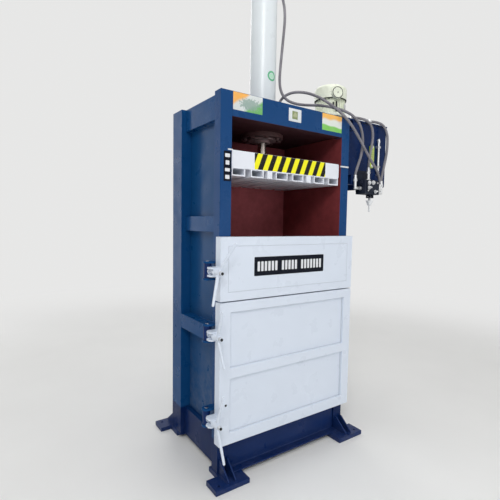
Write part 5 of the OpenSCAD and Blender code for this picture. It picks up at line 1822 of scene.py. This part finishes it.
def stand(name: str, data: bpy.types.ID, axes: tuple[Array, Array, Array], at: Triple) -> bpy.types.Object:
    """Links a camera or light, turned so that its own axes lie along the given ones.

    Args:
        name: name of the object.
        data: camera or light.
        axes: directions of its X, Y and Z.
        at: place of the object.

    Returns:
        The new object.
    """
    thing = bpy.data.objects.new(name, data)
    turn = np.eye(4)
    turn[:3] = np.column_stack([*axes, at])
    thing.matrix_world = Matrix(turn.tolist())
    bpy.context.scene.collection.objects.link(thing)
    return thing


@dataclass(frozen=True)
class Camera:
    """Camera that the photograph was matched with."""

    position: Triple = (-1.7247, -2.3919, 1.6052)
    lens: float = 28.034
    yaw: float = 34.3225
    pitch: float = -3.8584
    roll: float = 0.8982

    def build(self) -> None:
        """Builds the camera from its turn, tilt and roll."""
        yaw, pitch, roll = (math.radians(a) for a in (self.yaw, self.pitch, self.roll))
        ahead = np.array([math.sin(yaw) * math.cos(pitch), math.cos(yaw) * math.cos(pitch), math.sin(pitch)])
        right = np.array([math.cos(yaw), -math.sin(yaw), 0.0])
        up = np.cross(right, ahead)
        side = right * math.cos(roll) + up * math.sin(roll)
        top = -right * math.sin(roll) + up * math.cos(roll)
        data = bpy.data.cameras.new("camera")
        data.lens, data.sensor_width, data.clip_start, data.clip_end = self.lens, 36.0, 0.05, 60.0
        bpy.context.scene.camera = stand("camera", data, (side, top, -ahead), self.position)


@dataclass(frozen=True)
class Lamp:
    """Area light that faces a point, and that the camera itself doesn't see."""

    name: str
    at: Triple
    to: Triple
    size: float
    watts: float
    tall: float = 0.0

    def build(self) -> None:
        """Builds the light, square where its height isn't given."""
        data = bpy.data.lights.new(self.name, "AREA")
        data.shape, data.energy = "RECTANGLE", self.watts
        data.size, data.size_y = self.size, self.tall or self.size
        axes = basis(np.array(self.at) - np.array(self.to))
        stand(self.name, data, axes, self.at).visible_camera = False


@dataclass(frozen=True)
class Floor(Finish):
    """Pale studio floor that takes the press's shadow, and turns into a plain pale backdrop further out."""

    backdrop: Triple = (0.80, 0.80, 0.795)
    near: float = 2.6
    far: float = 6.2

    def dress(self, g: Graph, shader: bpy.types.Node) -> None:
        """Clouds the floor a little, and shows the backdrop's own colour to the camera and in reflections.

        The backdrop's share rises with the distance from the Z axis, from none at `near` to all at `far`.

        Args:
            g: graph of the material.
            shader: its shader.
        """
        colour = g.mix(g.spread(g.noise(1.3, 4), 0.3, 0.7), self.colour, scaled(self.colour, 0.97))
        g.feed(shader, {"Base Color": colour, "Roughness": g.spread(g.noise(30, 4), 0.3, 0.7, 0.5, 0.62)})
        away = g.add("VectorMath", {0: g.where}, operation="LENGTH").outputs["Value"]
        reach = {0: away, 1: self.near, 2: self.far}
        share = g.times(g.add("MapRange", reach, interpolation_type="SMOOTHSTEP").outputs[0], g.seen())
        plain = g.add("Emission", {"Color": (*self.backdrop, 1), "Strength": 1.0})
        both = g.add("MixShader", {0: share, 1: shader.outputs[0], 2: plain.outputs[0]})
        out = next(n for n in g.tree.nodes if n.type == "OUTPUT_MATERIAL")
        g.feed(out, {"Surface": both.outputs[0]})


@dataclass
class Studio:
    """Pale round sweep of floor and backdrop, soft area lights and the world's light."""

    flat: float = 5.0
    bend: float = 4.0
    rise: float = 10.5
    colour: Triple = (0.86, 0.86, 0.85)
    lamps: tuple[Lamp, ...] = (
        Lamp("key", (-3.6, -4.4, 5.2), (0.0, 0.0, 1.6), 2.4, 165),
        Lamp("fill", (1.4, -5.2, 1.5), (0.0, 0.0, 1.6), 3.0, 38),
        Lamp("top", (0.3, -0.6, 6.4), (0.2, 0.0, 1.5), 3.6, 80),
        Lamp("rear", (1.6, 4.0, 4.6), (0.2, 0.0, 1.8), 2.6, 50),
        Lamp("strip", (-2.6, 5.0, 1.9), (-0.5, 0.2, 1.6), 0.7, 26, 4.2),
    )

    def build(self) -> None:
        """Builds the sweep, the lights, the world and the view settings.

        The sweep turns one line round Z: flat to its radius, a quarter circle, and a straight wall.
        """
        a = np.linspace(0, np.pi / 2, 24)
        floor = np.stack([np.linspace(0, self.flat, 10), np.zeros(10)], -1)
        curve = np.stack([self.flat + self.bend * np.sin(a), self.bend - self.bend * np.cos(a)], -1)
        wall = np.stack([np.full(6, self.flat + self.bend), np.linspace(self.bend, self.rise, 6)], -1)
        p = lathe(np.vstack([floor, curve[1:], wall[1:]]), np.zeros(3), Z, 96)[:, ::-1]
        quads = ring_quads(*p.shape[:2])[2]
        mesh = bpy.data.meshes.new("studio_sweep")
        mesh.from_pydata(p.reshape(-1, 3).tolist(), [], quads.tolist())
        mesh.polygons.foreach_set("use_smooth", np.ones(len(quads), bool))
        mesh.materials.append(Floor("studio_floor", "", self.colour, 0.55).material())
        backdrop = bpy.data.objects.new("studio_sweep", mesh)
        bpy.context.scene.collection.objects.link(backdrop)
        for lamp in self.lamps:
            lamp.build()
        self.world()
        bpy.context.scene.view_settings.view_transform = "Standard"

    def world(self) -> None:
        """Makes a pale world whose light on the press is weaker than what the camera sees."""
        world = bpy.data.worlds.new("studio")
        bpy.context.scene.world = world
        world.use_nodes = True
        world.node_tree.nodes.clear()
        g = Graph(world.node_tree)
        shown = g.add("Background", {"Color": (0.80, 0.80, 0.80, 1), "Strength": 1.0})
        light = g.add("Background", {"Color": (1.0, 1.0, 1.0, 1), "Strength": 0.4})
        both = g.add("MixShader", {0: g.seen(), 1: light.outputs[0], 2: shown.outputs[0]})
        g.add("OutputWorld", {"Surface": both.outputs[0]})


SUB_ASSEMBLIES: tuple[SubAssembly, ...] = (
    FrameWelds(),
    HingeTrim(),
    CylinderTrim(),
    PlatenTrim(),
    UpperDoorTrim(),
    LowerDoorTrim(),
    Clamp("clamp_top", 1.318, 23.0),
    Clamp("clamp_middle", 0.935, -3.0),
    Clamp("clamp_bottom", 0.405, -2.0),
    Nuts(),
    CrownMarks(),
    TankTrim(),
    MotorTrim(),
    ValveTrim(),
    Hose(name="cap_end_hose", node="hose_cap_end", route=CAP_ROUTE),
    Hose(name="rod_end_hose", node="hose_rod_end", route=ROD_ROUTE),
    Hose(name="pump_hose", node="hose_pump", route=PUMP_ROUTE),
    Hose(name="return_hose", node="hose_return", route=RETURN_ROUTE),
)


def main() -> None:
    """Builds the studio, dresses the frame and adds every sub-assembly."""
    logging.basicConfig(level=logging.INFO, format="%(name)s: %(message)s", stream=sys.stdout)
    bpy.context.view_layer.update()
    Camera().build()
    Studio().build()
    FrameNodes().dress()
    for assembly in SUB_ASSEMBLIES:
        assembly.build()


if __name__ == "__main__":
    main()
